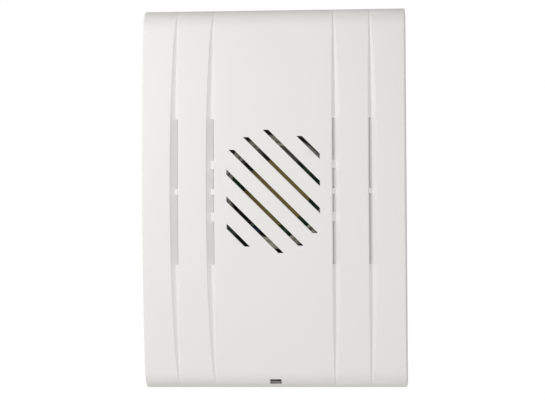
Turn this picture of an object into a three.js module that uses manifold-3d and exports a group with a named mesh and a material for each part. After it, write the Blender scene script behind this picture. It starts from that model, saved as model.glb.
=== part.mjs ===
import * as THREE from 'three';
import { mergeVertices } from 'three/addons/utils/BufferGeometryUtils.js';
import Module from 'manifold-3d';

const wasm = await Module();
wasm.setup();

// A wall-mounted indoor alarm siren. It is drawn lying on its back: x runs across, y up the wall and
// z out of the wall, from the wall face at z = 0. At the end the group is stood up, so that the
// front faces -Y and the top is at +Z. All sizes are millimetres.

// Case
const CASE_WIDTH = 98;
const CASE_HEIGHT = 142;
const CASE_DEPTH = 37;
const COVER_WALL = 2.2;
const FRONT_ARCH_RISE = 6.5;
const FRONT_END_RADIUS = 8;
const CLEARANCE = 0.3;
const FIT_GAP = 0.5;
const OVERCUT = 1; // how far a cutter runs past what it cuts
const WELD_DISTANCE = 1e-4;
const SOLDER_PITCH = 2.54; // the common spacing of board holes

// Sides of round solids, from a large ring to a wire
const RING_SIDES = 48;
const DISC_SIDES = 32;
const BAR_SIDES = 24;
const ROUND_SIDES = 20;
const SMALL_SIDES = 16;
const PIN_SIDES = 12;
const WIRE_SIDES = 8;

// Flutes down the front: lens shaped, deepest at mid height
const FLUTE_LINES = [22.1, 35.6];
const FLUTE_DEPTH = 1.2;
const FLUTE_WALL_WIDTH = 1.2;
const FLUTE_SCOOP_WIDTH = 2.2;
const FLUTE_SCOOP_HOLLOW = 0.35;
const FLUTE_EDGE_BOW = 0.36;
const FLUTE_LEAST_FULLNESS = 0.063;

// Side vents in the flute walls, with the bridges left across them
const VENT_LENGTH = 54;
const VENT_LIP = 0.25;
const VENT_ROOF = 1.3;
const VENT_FLOOR = 2.9;
const VENT_REACH = 3.2;
const VENT_STEP = 8;
const VENT_BRIDGES = [
  [{ up: 10, width: 3.2 }, { up: 0, width: 2.2 }, { up: -9.4, width: 3.5 }],
  [{ up: 0, width: 2 }],
];

// Grille of sloping slots, trimmed to an oval with straight sides
const GRILLE_UP = 2.5;
const SLOT_COUNT = 7;
const SLOT_WIDTH = 1.4;
const SLOT_PITCH = 7.12;
const GRILLE_OVAL_ACROSS = 21;
const GRILLE_OVAL_UP = 23.1;
const GRILLE_HALF_WIDTH = 17.4;

// Screwdriver release in the bottom end, and the latch behind it
const RELEASE_WIDTH = 4.3;
const RELEASE_HEIGHT = 1.75;
const RELEASE_ANGLE = 43.5;
const LATCH_WIDTH = 12;
const LATCH_THICKNESS = 1.6;
const LATCH_HOOK = 1.9;
const CATCH_HEIGHT = 1.3;
const CATCH_THICKNESS = 1.5;
const CATCH_OUT = 14.4;
const LATCH_HOOK_PLAY = 0.4;
const LATCH_HOOK_NOSE = 1;
const LATCH_HOOK_RAMP = 3;
const LATCH_TIP_RISE = 2.2;
const LATCH_TIP_BEVEL = 1;
const CHEEK_SETBACK = 2;

// Back housing
const PLATE = 3;
const RIM_WALL = 1.6;
const RIM_OUT = 11;
const HINGE_RELIEF = 0.8;
const HINGE_RELIEF_GAP = 0.6;
const SADDLE_CAP = 1.2;
const SADDLE_SETBACK = 0.7;
const BEAD_INSET = 0.1;
const BEAD_RADIUS = 1.9;
const BEAD_LENGTH = 12;
const BEAD_ACROSS = 30;
const KEYHOLE_ACROSS = 36;
const KEYHOLE_FROM_END = 15.5;
const KEYHOLE_RADIUS = 4;
const SCREW_SLOT_RADIUS = 2.1;
const SCREW_SLOT_RUN = 6;
const SEAT_PAD_MARGIN = 1.4;
const SEAT_PAD_RISE = 0.4;
const CABLE_WIDTH = 26;
const CABLE_HEIGHT = 11;
const CABLE_FROM_END = 16.5;
const CABLE_RIB_WALL = 1.2;
const CABLE_RIB_RISE = 1.5;

// Circuit board and its screws
const BOARD_THICKNESS = 1.6;
const BOARD_BACK = 12.4;
const BOARD_SIDE_MARGIN = 3.7;
const BOARD_FROM_BOTTOM = 25;
const BOARD_ABOVE_GRILLE = 9.7;
const BOARD_SCREW_INSET = 4;
const BOARD_HOLE_PLAY = 0.4;
const POST_RADIUS = 3;
const SCREW_RADIUS = 1.2;
const SCREW_HEAD_RADIUS = 2.5;
const SCREW_HEAD_HEIGHT = 1.8;
const SCREW_HEAD_GAP = 0.1;
const SCREW_CROSS_LENGTH = 3;
const SCREW_CROSS_WIDTH = 0.7;
const SCREW_CROSS_DEPTH = 0.9;

// Sounder
const PIEZO_RADIUS = 12.5;
const PIEZO_THICKNESS = 0.4;
const PIEZO_FRONT = 18.2;
const CERAMIC_RADIUS = 9.5;
const CERAMIC_THICKNESS = 0.3;
const CERAMIC_GAP = 0.15;
const SUPPORT_RADIUS = 8;
const SUPPORT_WALL = 1.2;
const COLLAR_INNER = 17.5;
const COLLAR_OUTER = 21.6;
const COLLAR_BACK = 17;
const COLLAR_FRONT = 24;
const COLLAR_RIM = 1.2;
const COLLAR_CHANNEL = 1.6;
const COLLAR_LEG = 1.6;
const LEAD_RADIUS = 0.65;
const LEAD_GAP = 0.25;
const LEAD_TUCK = 0.4;
const LEAD_DISC_OVERLAP = 1.5;

// Terminal block: each way has a mouth for the wire below and a well for its screw in front
const WAYS = 6;
const WAY_PITCH = 5.08;
const TERMINAL_DEEP = 8.2;
const TERMINAL_HIGH = 10;
const TERMINAL_FROM_EDGE = 1.5;
const TERMINAL_LOW_BEVEL = { up: 1.6, out: 3.4 };
const TERMINAL_HIGH_BEVEL = { up: 1, out: 2.5 };
const MOUTH_WIDTH = 3.6;
const MOUTH_HEIGHT = 3.8;
const MOUTH_DEPTH = 6;
const MOUTH_SILL = 1.3;
const WELL_UP = 4.4;
const WELL_LEDGE = 0.9;
const WELL_RADIUS = 2.1;
const THROAT_RADIUS = 1.2;
const CLAMP_WIDTH = 3;
const CLAMP_LENGTH = 4.6;
const CLAMP_INSET = 0.6;
const CLAMP_WALL = 0.5;
const CLAMP_CROWN = 0.7;
const CLAMP_TOP_GAP = 0.4;
const TERMINAL_SCREW_RADIUS = 1.8;
const TERMINAL_SCREW_HEIGHT = 2.7;
const TERMINAL_SHANK_RADIUS = 0.9;
const TERMINAL_SLOT_WIDTH = 0.6;
const TERMINAL_SLOT_DEPTH = 0.9;

// Tamper switch
const TAMPER_ACROSS = 30;
const TAMPER_UP = 4;
const TAMPER_WIDTH = 6.4;
const TAMPER_LENGTH = 12.8;
const TAMPER_HIGH = 6;
const TAMPER_COLLAR_WIDTH = 4.8;
const TAMPER_COLLAR_LENGTH = 7.8;
const TAMPER_COLLAR_RISE = 0.5;
const PLUNGER_WIDTH = 2.4;
const PLUNGER_THICKNESS = 1.4;
const PLUNGER_PROUD = 2.2;
const PLUNGER_DEEP = 2.3;
const PLUNGER_PLAY = 0.5;
const TAMPER_BOSS_RADIUS = 2.5;

// Step-up transformer: a flat core with two windows, a flanged bobbin on its middle leg, a winding
const TRANSFORMER_FROM_SIDE = 11.5;
const TRANSFORMER_FROM_EDGE = 19;
const CORE_WIDTH = 16;
const CORE_HEIGHT = 14;
const CORE_THICKNESS = 5;
const CORE_LEG = 4;
const CORE_WINDOW = 3.6;
const CORE_WINDOW_HEIGHT = 8.6;
const CORE_RISE = 6.2;
const BOBBIN_TUBE_WALL = 1;
const BOBBIN_FLANGE = 0.8;
const BOBBIN_FLANGE_PROUD = 3;
const WINDING_BUILD = 1.7;

// Two can capacitors, and the groove rolled round the foot of each
const CAN_LARGE = { fromSide: 8, fromEdge: 33, radius: 4, height: 11.5 };
const CAN_SMALL = { fromSide: 9, fromEdge: 42.5, radius: 3.15, height: 10 };
const CAN_LIP = 0.5;
const CAN_GROOVE = { from: 1.2, middle: 1.7, to: 2.2, depth: 0.35 };

// Drive transistor, standing on three legs
const TRANSISTOR = { fromSide: 10, fromEdge: 24, width: 8, thickness: 3.2, bottom: 3, top: 13 };
const TRANSISTOR_LEG = { pitch: 2.3, width: 0.8, thickness: 0.6, height: 4 };

// Tone chip, with two rows of four legs
const CHIP = { across: 7.5, fromEdge: 16.5, width: 9.8, length: 6.4, bottom: 0.5, top: 3.8 };
const CHIP_LEG = { count: 4, width: 0.7, shoulder: 1.2, thickness: 0.4, reach: 4.1, bend: 2.2 };

// Resistors and diodes: a barrel between two bent wires
const AXIAL_SPAN = 10.16;
const AXIAL_WIRE = 0.3;
const RESISTOR = { radius: 1.2, length: 6.3 };
const DIODE = { radius: 1.3, length: 5 };
const MIDDLE_RESISTORS = { across: [-5, -10], fromEdge: 16.5 };
const SIDE_RESISTORS = { fromSide: [15, 10.5], fromEdge: 36 };
const DIODES = { fromSide: [12, 16], fromTop: 6.2 };

// Tone jumpers: three pairs of pins and two caps
const HEADER_FROM_SIDE = 13;
const HEADER_FROM_EDGE = 11;
const HEADER_BASE = 2.5;
const HEADER_PIN = 0.64;
const HEADER_PIN_TOP = 8.5;
const CAP_HEIGHT = 6.6;
const CAP_PLAY = 0.2;
const CAP_SOCKET = 1.3;

// Derived places
const halfWidth = CASE_WIDTH / 2;
const halfHeight = CASE_HEIGHT / 2;
const coverRear = PLATE + CLEARANCE;
const archRadius = (halfHeight ** 2 + FRONT_ARCH_RISE ** 2) / (2 * FRONT_ARCH_RISE);
const archCentreOut = CASE_DEPTH - archRadius;
const endCentreUp = halfHeight - FRONT_END_RADIUS;
const endCentreOut = archCentreOut + Math.sqrt((archRadius - FRONT_END_RADIUS) ** 2 - endCentreUp ** 2);
const tangentAngle = Math.asin(endCentreUp / (archRadius - FRONT_END_RADIUS));
const rimAcross = halfWidth - COVER_WALL - FIT_GAP;
const rimBottom = halfHeight - COVER_WALL - FIT_GAP;
const rimTop = Math.min(rimBottom, halfHeight - BEAD_INSET - 2 * BEAD_RADIUS - CLEARANCE);
const beadUp = halfHeight - BEAD_RADIUS - BEAD_INSET;
const beadOut = coverRear + BEAD_RADIUS + BEAD_INSET;
const boardFront = BOARD_BACK + BOARD_THICKNESS;
const boardAcross = rimAcross - RIM_WALL - BOARD_SIDE_MARGIN;
const boardBottom = -halfHeight + BOARD_FROM_BOTTOM;
const boardTop = GRILLE_UP + BOARD_ABOVE_GRILLE;
const seat = boardFront + CLEARANCE;
const latchUp = -rimBottom + RIM_WALL + CLEARANCE;
const latchHookOut = CATCH_OUT + CATCH_THICKNESS + LATCH_HOOK_PLAY;
const latchTip = endCentreOut + LATCH_TIP_RISE;
const terminalBottom = boardBottom + TERMINAL_FROM_EDGE;
const mouthBack = seat + MOUTH_SILL;
const mouthFront = mouthBack + MOUTH_HEIGHT;
const wellBack = mouthFront + WELL_LEDGE;
const headerAcross = boardAcross - HEADER_FROM_SIDE;
const headerUp = boardBottom + HEADER_FROM_EDGE;
const transformerAcross = -boardAcross + TRANSFORMER_FROM_SIDE;
const transformerUp = boardBottom + TRANSFORMER_FROM_EDGE;
const coreBack = seat + CORE_RISE - CORE_THICKNESS / 2;
const coreFront = coreBack + CORE_THICKNESS;
const bobbinLength = CORE_WINDOW_HEIGHT - 2 * CLEARANCE;

// ---- solids ----

// The volume inside a welded mesh, negative when its faces point inwards
function signedVolume(positions, triangles) {
  const a = new THREE.Vector3();
  const b = new THREE.Vector3();
  const c = new THREE.Vector3();
  let sum = 0;
  for (let i = 0; i < triangles.length; i += 3) {
    a.fromArray(positions, triangles[i] * 3);
    b.fromArray(positions, triangles[i + 1] * 3);
    c.fromArray(positions, triangles[i + 2] * 3);
    sum += a.dot(b.cross(c));
  }
  return sum / 6;
}

function solidOf(geometry) {
  const bare = geometry.clone();
  bare.deleteAttribute('normal');
  bare.deleteAttribute('uv');
  const welded = mergeVertices(bare, WELD_DISTANCE);
  const vertProperties = Float32Array.from(welded.getAttribute('position').array);
  const triVerts = Uint32Array.from(welded.getIndex().array);
  if (signedVolume(vertProperties, triVerts) < 0) triVerts.reverse();
  return new wasm.Manifold(new wasm.Mesh({ numProp: 3, vertProperties, triVerts }));
}

function joined(solids) {
  return solids.reduce((whole, solid) => whole.add(solid));
}

function cutBy(solid, cutters) {
  return cutters.reduce((rest, cutter) => rest.subtract(cutter), solid);
}

function block(left, right, bottom, top, back, front) {
  const geometry = new THREE.BoxGeometry(right - left, top - bottom, front - back);
  geometry.translate((left + right) / 2, (bottom + top) / 2, (back + front) / 2);
  return solidOf(geometry);
}

function centredBlock(across, up, width, height, back, front) {
  return block(across - width / 2, across + width / 2, up - height / 2, up + height / 2, back, front);
}

// A cylinder that stands out from the wall
function post(across, up, radius, back, front, sides = ROUND_SIDES) {
  const geometry = new THREE.CylinderGeometry(radius, radius, front - back, sides);
  geometry.rotateX(Math.PI / 2);
  geometry.translate(across, up, (back + front) / 2);
  return solidOf(geometry);
}

// A cylinder that lies across the siren
function barAcross(left, right, up, out, radius) {
  const geometry = new THREE.CylinderGeometry(radius, radius, right - left, BAR_SIDES);
  geometry.rotateZ(Math.PI / 2);
  geometry.translate((left + right) / 2, up, out);
  return solidOf(geometry);
}

// A profile of [radius, out] points turned round an axis that stands out from the wall
function turned(profile, across, up, sides) {
  const points = profile.map(([radius, out]) => new THREE.Vector2(radius, out));
  const geometry = new THREE.LatheGeometry(points, sides);
  geometry.rotateX(Math.PI / 2);
  geometry.translate(across, up, 0);
  return solidOf(geometry);
}

function shapeOf(points) {
  return new THREE.Shape(points.map(([a, b]) => new THREE.Vector2(a, b)));
}

// A side profile of [up, out] points carried across the siren
function carriedAcross(profile, left, right) {
  const geometry = new THREE.ExtrudeGeometry(shapeOf(profile), { depth: right - left, bevelEnabled: false });
  const across = new THREE.Vector3(1, 0, 0);
  const up = new THREE.Vector3(0, 1, 0);
  const out = new THREE.Vector3(0, 0, 1);
  geometry.applyMatrix4(new THREE.Matrix4().makeBasis(up, out, across));
  geometry.translate(left, 0, 0);
  return solidOf(geometry);
}

// A face outline of [across, up] points carried outwards
function carriedOut(outline, back, front) {
  const geometry = new THREE.ExtrudeGeometry(shapeOf(outline), { depth: front - back, bevelEnabled: false });
  geometry.translate(0, 0, back);
  return solidOf(geometry);
}

// A round bar along a curve, such as a lead
function barAlong(points, radius, steps) {
  const section = new THREE.Shape();
  section.absarc(0, 0, radius, 0, Math.PI * 2, false);
  const path = new THREE.CatmullRomCurve3(points);
  const geometry = new THREE.ExtrudeGeometry(section, {
    steps,
    extrudePath: path,
    bevelEnabled: false,
    curveSegments: WIRE_SIDES / 2,
  });
  return solidOf(geometry);
}

function meshGeometry(solid) {
  const { vertProperties, triVerts } = solid.getMesh();
  const geometry = new THREE.BufferGeometry();
  geometry.setAttribute('position', new THREE.BufferAttribute(vertProperties, 3));
  geometry.setIndex(new THREE.BufferAttribute(triVerts, 1));
  const flat = geometry.toNonIndexed();
  flat.computeVertexNormals();
  return flat;
}

// ---- front cover ----

// Points of the arched front from its top end to its bottom end, set in by a wall
function frontProfile(inset) {
  const endSteps = 6;
  const archSteps = 18;
  const points = [];
  const endPoint = (angle, sign) => [
    sign * (endCentreUp + (FRONT_END_RADIUS - inset) * Math.sin(angle)),
    endCentreOut + (FRONT_END_RADIUS - inset) * Math.cos(angle),
  ];
  for (let i = 0; i < endSteps; i += 1) {
    points.push(endPoint(Math.PI / 2 - (Math.PI / 2 - tangentAngle) * (i / endSteps), 1));
  }
  for (let i = 0; i <= archSteps; i += 1) {
    const angle = tangentAngle * (1 - 2 * i / archSteps);
    const radius = archRadius - inset;
    points.push([radius * Math.sin(angle), archCentreOut + radius * Math.cos(angle)]);
  }
  for (let i = endSteps - 1; i >= 0; i -= 1) {
    points.push(endPoint(Math.PI / 2 - (Math.PI / 2 - tangentAngle) * (i / endSteps), -1));
  }
  return points;
}

// How far out the front stands at a height
function frontOut(up) {
  const height = Math.min(Math.abs(up), halfHeight);
  const tangentUp = archRadius * Math.sin(tangentAngle);
  if (height <= tangentUp) return archCentreOut + Math.sqrt(archRadius ** 2 - height ** 2);
  return endCentreOut + Math.sqrt(Math.max(FRONT_END_RADIUS ** 2 - (height - endCentreUp) ** 2, 0));
}

// How full a flute is at a height, from 1 at mid height to almost nothing at the ends
function fluteFullness(up) {
  return Math.sqrt(Math.max(1 - (up / halfHeight) ** 2, FLUTE_LEAST_FULLNESS ** 2));
}

// Carries a flute's section down the front: what is proud of the surface or towards the middle
// keeps its size, and the rest shrinks with the flute
function carriedDown(section, levels, line, side, inset) {
  const steps = levels.length - 1;
  const geometry = new THREE.ExtrudeGeometry(shapeOf(section), { depth: steps, steps, bevelEnabled: false });
  const position = geometry.getAttribute('position');
  for (let i = 0; i < position.count; i += 1) {
    const up = levels[Math.round(position.getZ(i))];
    const full = fluteFullness(up);
    const edge = line - FLUTE_EDGE_BOW * full;
    const aside = position.getX(i);
    const proud = position.getY(i);
    const across = side * (edge + (aside < 0 ? aside : aside * full));
    const out = frontOut(up) - inset + (proud > 0 ? proud : proud * full);
    position.setXYZ(i, across, up, out);
  }
  return solidOf(geometry);
}

function scoopPoints() {
  const steps = 5;
  const points = [];
  for (let i = 1; i <= steps; i += 1) {
    const along = i / steps;
    const depth = FLUTE_DEPTH * (1 - along) * (1 + FLUTE_SCOOP_HOLLOW * along);
    points.push([FLUTE_WALL_WIDTH + FLUTE_SCOOP_WIDTH * along, -depth]);
  }
  return points;
}

function fluteCutter(line, side, levels) {
  const shoulder = FLUTE_WALL_WIDTH + FLUTE_SCOOP_WIDTH;
  const foot = [FLUTE_WALL_WIDTH, -FLUTE_DEPTH];
  const section = [[0, OVERCUT], [0, 0], foot, ...scoopPoints(), [shoulder, OVERCUT]];
  return carriedDown(section, levels, line, side, 0);
}

// The ridge inside the cover that keeps its wall whole behind a flute
function fluteRidge(line, side, levels) {
  const shoulder = FLUTE_WALL_WIDTH + FLUTE_SCOOP_WIDTH + CLEARANCE;
  const section = [
    [-COVER_WALL, OVERCUT],
    [-COVER_WALL, 0],
    [CLEARANCE / 2, -FLUTE_DEPTH],
    [FLUTE_WALL_WIDTH + CLEARANCE, -FLUTE_DEPTH],
    ...scoopPoints().map(([aside, proud]) => [aside + CLEARANCE, proud]),
    [shoulder, OVERCUT],
  ];
  return carriedDown(section, levels, line, side, COVER_WALL);
}

// The open stretches of a vent between its bridges, from the top down
function ventStretches(bridges) {
  const edges = [GRILLE_UP + VENT_LENGTH / 2];
  for (const { up, width } of bridges) {
    edges.push(GRILLE_UP + up + width / 2, GRILLE_UP + up - width / 2);
  }
  edges.push(GRILLE_UP - VENT_LENGTH / 2);
  const stretches = [];
  for (let i = 0; i < edges.length; i += 2) stretches.push([edges[i], edges[i + 1]]);
  return stretches;
}

function ventCutter(line, side, top, bottom) {
  const steps = Math.ceil((top - bottom) / VENT_STEP);
  const levels = Array.from({ length: steps + 1 }, (_, i) => top + (bottom - top) * (i / steps));
  const mouth = FLUTE_WALL_WIDTH + CLEARANCE / 3;
  const section = [
    [-VENT_REACH, -VENT_ROOF],
    [-VENT_REACH, -VENT_FLOOR],
    [mouth, -FLUTE_DEPTH],
    [mouth, -VENT_LIP],
  ];
  return carriedDown(section, levels, line, side, 0);
}

// Where a slot's centre line, up = rise - across, meets the grille's oval
function ovalCrossings(rise) {
  const a = GRILLE_OVAL_ACROSS ** 2;
  const b = GRILLE_OVAL_UP ** 2;
  const root = Math.sqrt((rise * a) ** 2 - (a + b) * a * (rise ** 2 - b));
  return [(rise * a - root) / (a + b), (rise * a + root) / (a + b)];
}

// A sloping slot; its ends are level where the oval trims it and upright at the grille's sides
function slotOutline(index) {
  const rise = index * SLOT_PITCH * Math.SQRT2;
  const half = SLOT_WIDTH / Math.SQRT2;
  const [first, last] = ovalCrossings(rise);
  const topEnd = (shift) => (first > -GRILLE_HALF_WIDTH ? first + shift : -GRILLE_HALF_WIDTH);
  const lowEnd = (shift) => (last < GRILLE_HALF_WIDTH ? last + shift : GRILLE_HALF_WIDTH);
  const corner = (across, shift) => [across, GRILLE_UP + rise + shift - across];
  return [
    corner(topEnd(-half), -half),
    corner(lowEnd(-half), -half),
    corner(lowEnd(half), half),
    corner(topEnd(half), half),
  ];
}

function grilleCutters() {
  const outermost = (SLOT_COUNT - 1) / 2;
  const cutters = [];
  for (let index = -outermost; index <= outermost; index += 1) {
    cutters.push(carriedOut(slotOutline(index), COLLAR_FRONT, CASE_DEPTH + OVERCUT));
  }
  return cutters;
}

// The slot is cut straight out, the way the cover leaves its mould
function releaseCutter() {
  const angle = THREE.MathUtils.degToRad(RELEASE_ANGLE);
  const geometry = new THREE.BoxGeometry(RELEASE_WIDTH, RELEASE_HEIGHT, 4 * COVER_WALL);
  const reach = FRONT_END_RADIUS;
  geometry.translate(0, -endCentreUp - reach * Math.sin(angle), endCentreOut + reach * Math.cos(angle));
  return solidOf(geometry);
}

function coverOutline(inset, rear) {
  const end = halfHeight - inset;
  return [[end, rear], ...frontProfile(inset), [-end, rear]];
}

function hingeBead(side) {
  const middle = side * BEAD_ACROSS;
  return barAcross(middle - BEAD_LENGTH / 2, middle + BEAD_LENGTH / 2, beadUp, beadOut, BEAD_RADIUS);
}

function latchCatch() {
  const inner = -halfHeight + COVER_WALL;
  const half = LATCH_WIDTH / 2 + COVER_WALL / 2;
  const root = inner - COVER_WALL / 2;
  return block(-half, half, root, inner + CATCH_HEIGHT, CATCH_OUT, CATCH_OUT + CATCH_THICKNESS);
}

function tamperBoss() {
  const tip = seat + TAMPER_HIGH + PLUNGER_PROUD + CLEARANCE;
  return post(TAMPER_ACROSS, TAMPER_UP, TAMPER_BOSS_RADIUS, tip, frontOut(TAMPER_UP) - COVER_WALL / 2);
}

function frontCover() {
  const levels = frontProfile(0).map(([up]) => up);
  let outside = carriedAcross(coverOutline(0, coverRear), -halfWidth, halfWidth);
  let inside = carriedAcross(coverOutline(COVER_WALL, 0), COVER_WALL - halfWidth, halfWidth - COVER_WALL);
  const vents = [];
  FLUTE_LINES.forEach((line, row) => {
    for (const side of [-1, 1]) {
      outside = outside.subtract(fluteCutter(line, side, levels));
      inside = inside.subtract(fluteRidge(line, side, levels));
      for (const [top, bottom] of ventStretches(VENT_BRIDGES[row])) {
        vents.push(ventCutter(line, side, top, bottom));
      }
    }
  });
  const shell = cutBy(outside.subtract(inside), [...vents, ...grilleCutters(), releaseCutter()]);
  return joined([shell, hingeBead(-1), hingeBead(1), latchCatch(), tamperBoss()]);
}

// ---- back housing and latch ----

// A cutter or a rib starts this far inside the plate
const plateCore = PLATE / 2;

function hingeSaddle(side) {
  const middle = side * BEAD_ACROSS;
  const half = BEAD_LENGTH / 2;
  const reach = BEAD_RADIUS + CLEARANCE;
  const front = beadOut + reach + SADDLE_CAP;
  const body = block(
    middle - half,
    middle + half,
    rimTop - RIM_WALL,
    beadUp - SADDLE_SETBACK,
    plateCore,
    front,
  );
  return body.subtract(barAcross(middle - half - OVERCUT, middle + half + OVERCUT, beadUp, beadOut, reach));
}

function rim() {
  const outer = block(-rimAcross, rimAcross, -rimBottom, rimTop, plateCore, RIM_OUT);
  const inner = block(
    -rimAcross + RIM_WALL,
    rimAcross - RIM_WALL,
    -rimBottom + RIM_WALL,
    rimTop - RIM_WALL,
    0,
    RIM_OUT + OVERCUT,
  );
  return outer.subtract(inner);
}

function boardPosts() {
  const across = boardAcross - BOARD_SCREW_INSET;
  const places = [];
  for (const side of [-1, 1]) {
    places.push([side * across, boardTop - BOARD_SCREW_INSET]);
    places.push([side * across, boardBottom + BOARD_SCREW_INSET]);
  }
  return places;
}

// A slot with round ends, running from one place to another in a straight line across or up
function roundedSlot([across, up], [toAcross, toUp], radius, back, front) {
  const width = toAcross - across || 2 * radius;
  const height = toUp - up || 2 * radius;
  return joined([
    post(across, up, radius, back, front),
    post(toAcross, toUp, radius, back, front),
    centredBlock((across + toAcross) / 2, (up + toUp) / 2, width, height, back, front),
  ]);
}

// A wall screw's head goes in at the round hole and hangs in the slot above it
function keyhole(side, margin, back, front) {
  const across = side * KEYHOLE_ACROSS;
  const up = halfHeight - KEYHOLE_FROM_END;
  const top = up + SCREW_SLOT_RUN;
  return joined([
    post(across, up, KEYHOLE_RADIUS + margin, back, front),
    roundedSlot([across, up], [across, top], SCREW_SLOT_RADIUS + margin, back, front),
  ]);
}

function levelSlot(side, margin, back, front) {
  const left = side * KEYHOLE_ACROSS - SCREW_SLOT_RUN / 2;
  const up = -halfHeight + KEYHOLE_FROM_END;
  const right = left + SCREW_SLOT_RUN;
  return roundedSlot([left, up], [right, up], SCREW_SLOT_RADIUS + margin, back, front);
}

// The two keyholes and two level slots, either as cutters or as the low pads round them
function screwOpenings(margin, back, front) {
  const sides = [-1, 1];
  return sides.flatMap((side) => [keyhole(side, margin, back, front), levelSlot(side, margin, back, front)]);
}

function cableRib(up) {
  const width = CABLE_WIDTH + 2 * CABLE_RIB_WALL;
  const height = CABLE_HEIGHT + 2 * CABLE_RIB_WALL;
  return centredBlock(0, up, width, height, plateCore, PLATE + CABLE_RIB_RISE);
}

// The two walls that guide the latch at its root
function latchCheek(side) {
  return centredBlock(
    side * (LATCH_WIDTH / 2 + CLEARANCE + RIM_WALL / 2),
    latchUp + LATCH_THICKNESS / 2,
    RIM_WALL,
    2 * LATCH_THICKNESS,
    plateCore,
    RIM_OUT - CHEEK_SETBACK,
  );
}

function backHousing() {
  const plate = block(-halfWidth, halfWidth, -halfHeight, halfHeight, 0, PLATE);
  const relief = block(
    -halfWidth - OVERCUT,
    halfWidth + OVERCUT,
    rimTop + HINGE_RELIEF_GAP,
    halfHeight + OVERCUT,
    PLATE - HINGE_RELIEF,
    PLATE + OVERCUT,
  );
  const posts = boardPosts().map(([across, up]) => (
    post(across, up, POST_RADIUS, plateCore, BOARD_BACK - CLEARANCE)
  ));
  const pilots = boardPosts().map(([across, up]) => (
    post(across, up, SCREW_RADIUS + CLEARANCE, PLATE + OVERCUT, BOARD_BACK + OVERCUT, PIN_SIDES)
  ));
  const cableUp = -halfHeight + CABLE_FROM_END;
  const body = joined([
    plate.subtract(relief),
    rim(),
    hingeSaddle(-1),
    hingeSaddle(1),
    ...posts,
    latchCheek(-1),
    latchCheek(1),
    cableRib(cableUp),
    ...screwOpenings(SEAT_PAD_MARGIN, plateCore, PLATE + SEAT_PAD_RISE),
  ]);
  return cutBy(body, [
    ...pilots,
    ...screwOpenings(0, -OVERCUT, PLATE + OVERCUT),
    centredBlock(0, cableUp, CABLE_WIDTH, CABLE_HEIGHT, -OVERCUT, 2 * PLATE),
  ]);
}

function releaseLatch() {
  const back = PLATE + CLEARANCE;
  const low = latchUp;
  const high = latchUp + LATCH_THICKNESS;
  const nose = latchHookOut + LATCH_HOOK_NOSE;
  const profile = [
    [low, back],
    [low, latchHookOut],
    [low - LATCH_HOOK, latchHookOut],
    [low - LATCH_HOOK, nose],
    [low, nose + LATCH_HOOK_RAMP],
    [low, latchTip - 2 * LATCH_TIP_BEVEL],
    [low + LATCH_TIP_BEVEL, latchTip],
    [high, latchTip],
    [high, back],
  ];
  return carriedAcross(profile, -LATCH_WIDTH / 2, LATCH_WIDTH / 2);
}

// ---- sounder ----

// A place round the sounder's axis
function aroundSounder(radius, degrees, out) {
  const angle = THREE.MathUtils.degToRad(degrees);
  return new THREE.Vector3(radius * Math.cos(angle), GRILLE_UP + radius * Math.sin(angle), out);
}

function collarLegPlaces() {
  const radius = (COLLAR_INNER + COLLAR_OUTER) / 2;
  return [45, 135, 225, 315].map((degrees) => aroundSounder(radius, degrees, 0));
}

function acousticCollar() {
  const channelFloor = COLLAR_FRONT - COLLAR_CHANNEL;
  const ring = turned([
    [COLLAR_INNER, COLLAR_BACK],
    [COLLAR_OUTER, COLLAR_BACK],
    [COLLAR_OUTER, COLLAR_FRONT],
    [COLLAR_OUTER - COLLAR_RIM, COLLAR_FRONT],
    [COLLAR_OUTER - COLLAR_RIM, channelFloor],
    [COLLAR_INNER + COLLAR_RIM, channelFloor],
    [COLLAR_INNER + COLLAR_RIM, COLLAR_FRONT],
    [COLLAR_INNER, COLLAR_FRONT],
    [COLLAR_INNER, COLLAR_BACK],
  ], 0, GRILLE_UP, RING_SIDES);
  const legs = collarLegPlaces().map(({ x, y }) => (
    post(x, y, COLLAR_LEG, PLATE + CLEARANCE, COLLAR_BACK + COLLAR_RIM, PIN_SIDES)
  ));
  return joined([ring, ...legs]);
}

const ceramicFront = PIEZO_FRONT - PIEZO_THICKNESS - CERAMIC_GAP;

function piezoBrass() {
  return post(0, GRILLE_UP, PIEZO_RADIUS, PIEZO_FRONT - PIEZO_THICKNESS, PIEZO_FRONT, RING_SIDES);
}

function piezoCeramic() {
  return post(0, GRILLE_UP, CERAMIC_RADIUS, ceramicFront - CERAMIC_THICKNESS, ceramicFront, RING_SIDES);
}

function piezoSupport() {
  const front = ceramicFront - CERAMIC_THICKNESS - CLEARANCE;
  const hole = post(0, GRILLE_UP, SUPPORT_RADIUS - SUPPORT_WALL, 0, CASE_DEPTH, DISC_SIDES);
  return post(0, GRILLE_UP, SUPPORT_RADIUS, seat, front, DISC_SIDES).subtract(hole);
}

const leadOut = boardFront + LEAD_RADIUS + LEAD_GAP;
const leadTuck = COLLAR_INNER - LEAD_RADIUS - LEAD_TUCK;

// From the disc's edge, round inside the collar, down to its pad on the board
function blackLead() {
  return barAlong([
    aroundSounder(PIEZO_RADIUS - LEAD_DISC_OVERLAP, 178, leadOut + 2),
    aroundSounder(PIEZO_RADIUS + 0.9, 181, leadOut + 1.8),
    aroundSounder(leadTuck - 0.5, 190, leadOut + 1.5),
    aroundSounder(leadTuck, 202, leadOut + 1.3),
    aroundSounder(leadTuck, 214, leadOut + 1.2),
    aroundSounder(leadTuck - 0.5, 223, leadOut + 0.8),
    aroundSounder(leadTuck - 1.8, 229, leadOut + 0.3),
    aroundSounder(leadTuck - 3.3, 232, leadOut),
  ], LEAD_RADIUS, 24);
}

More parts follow.
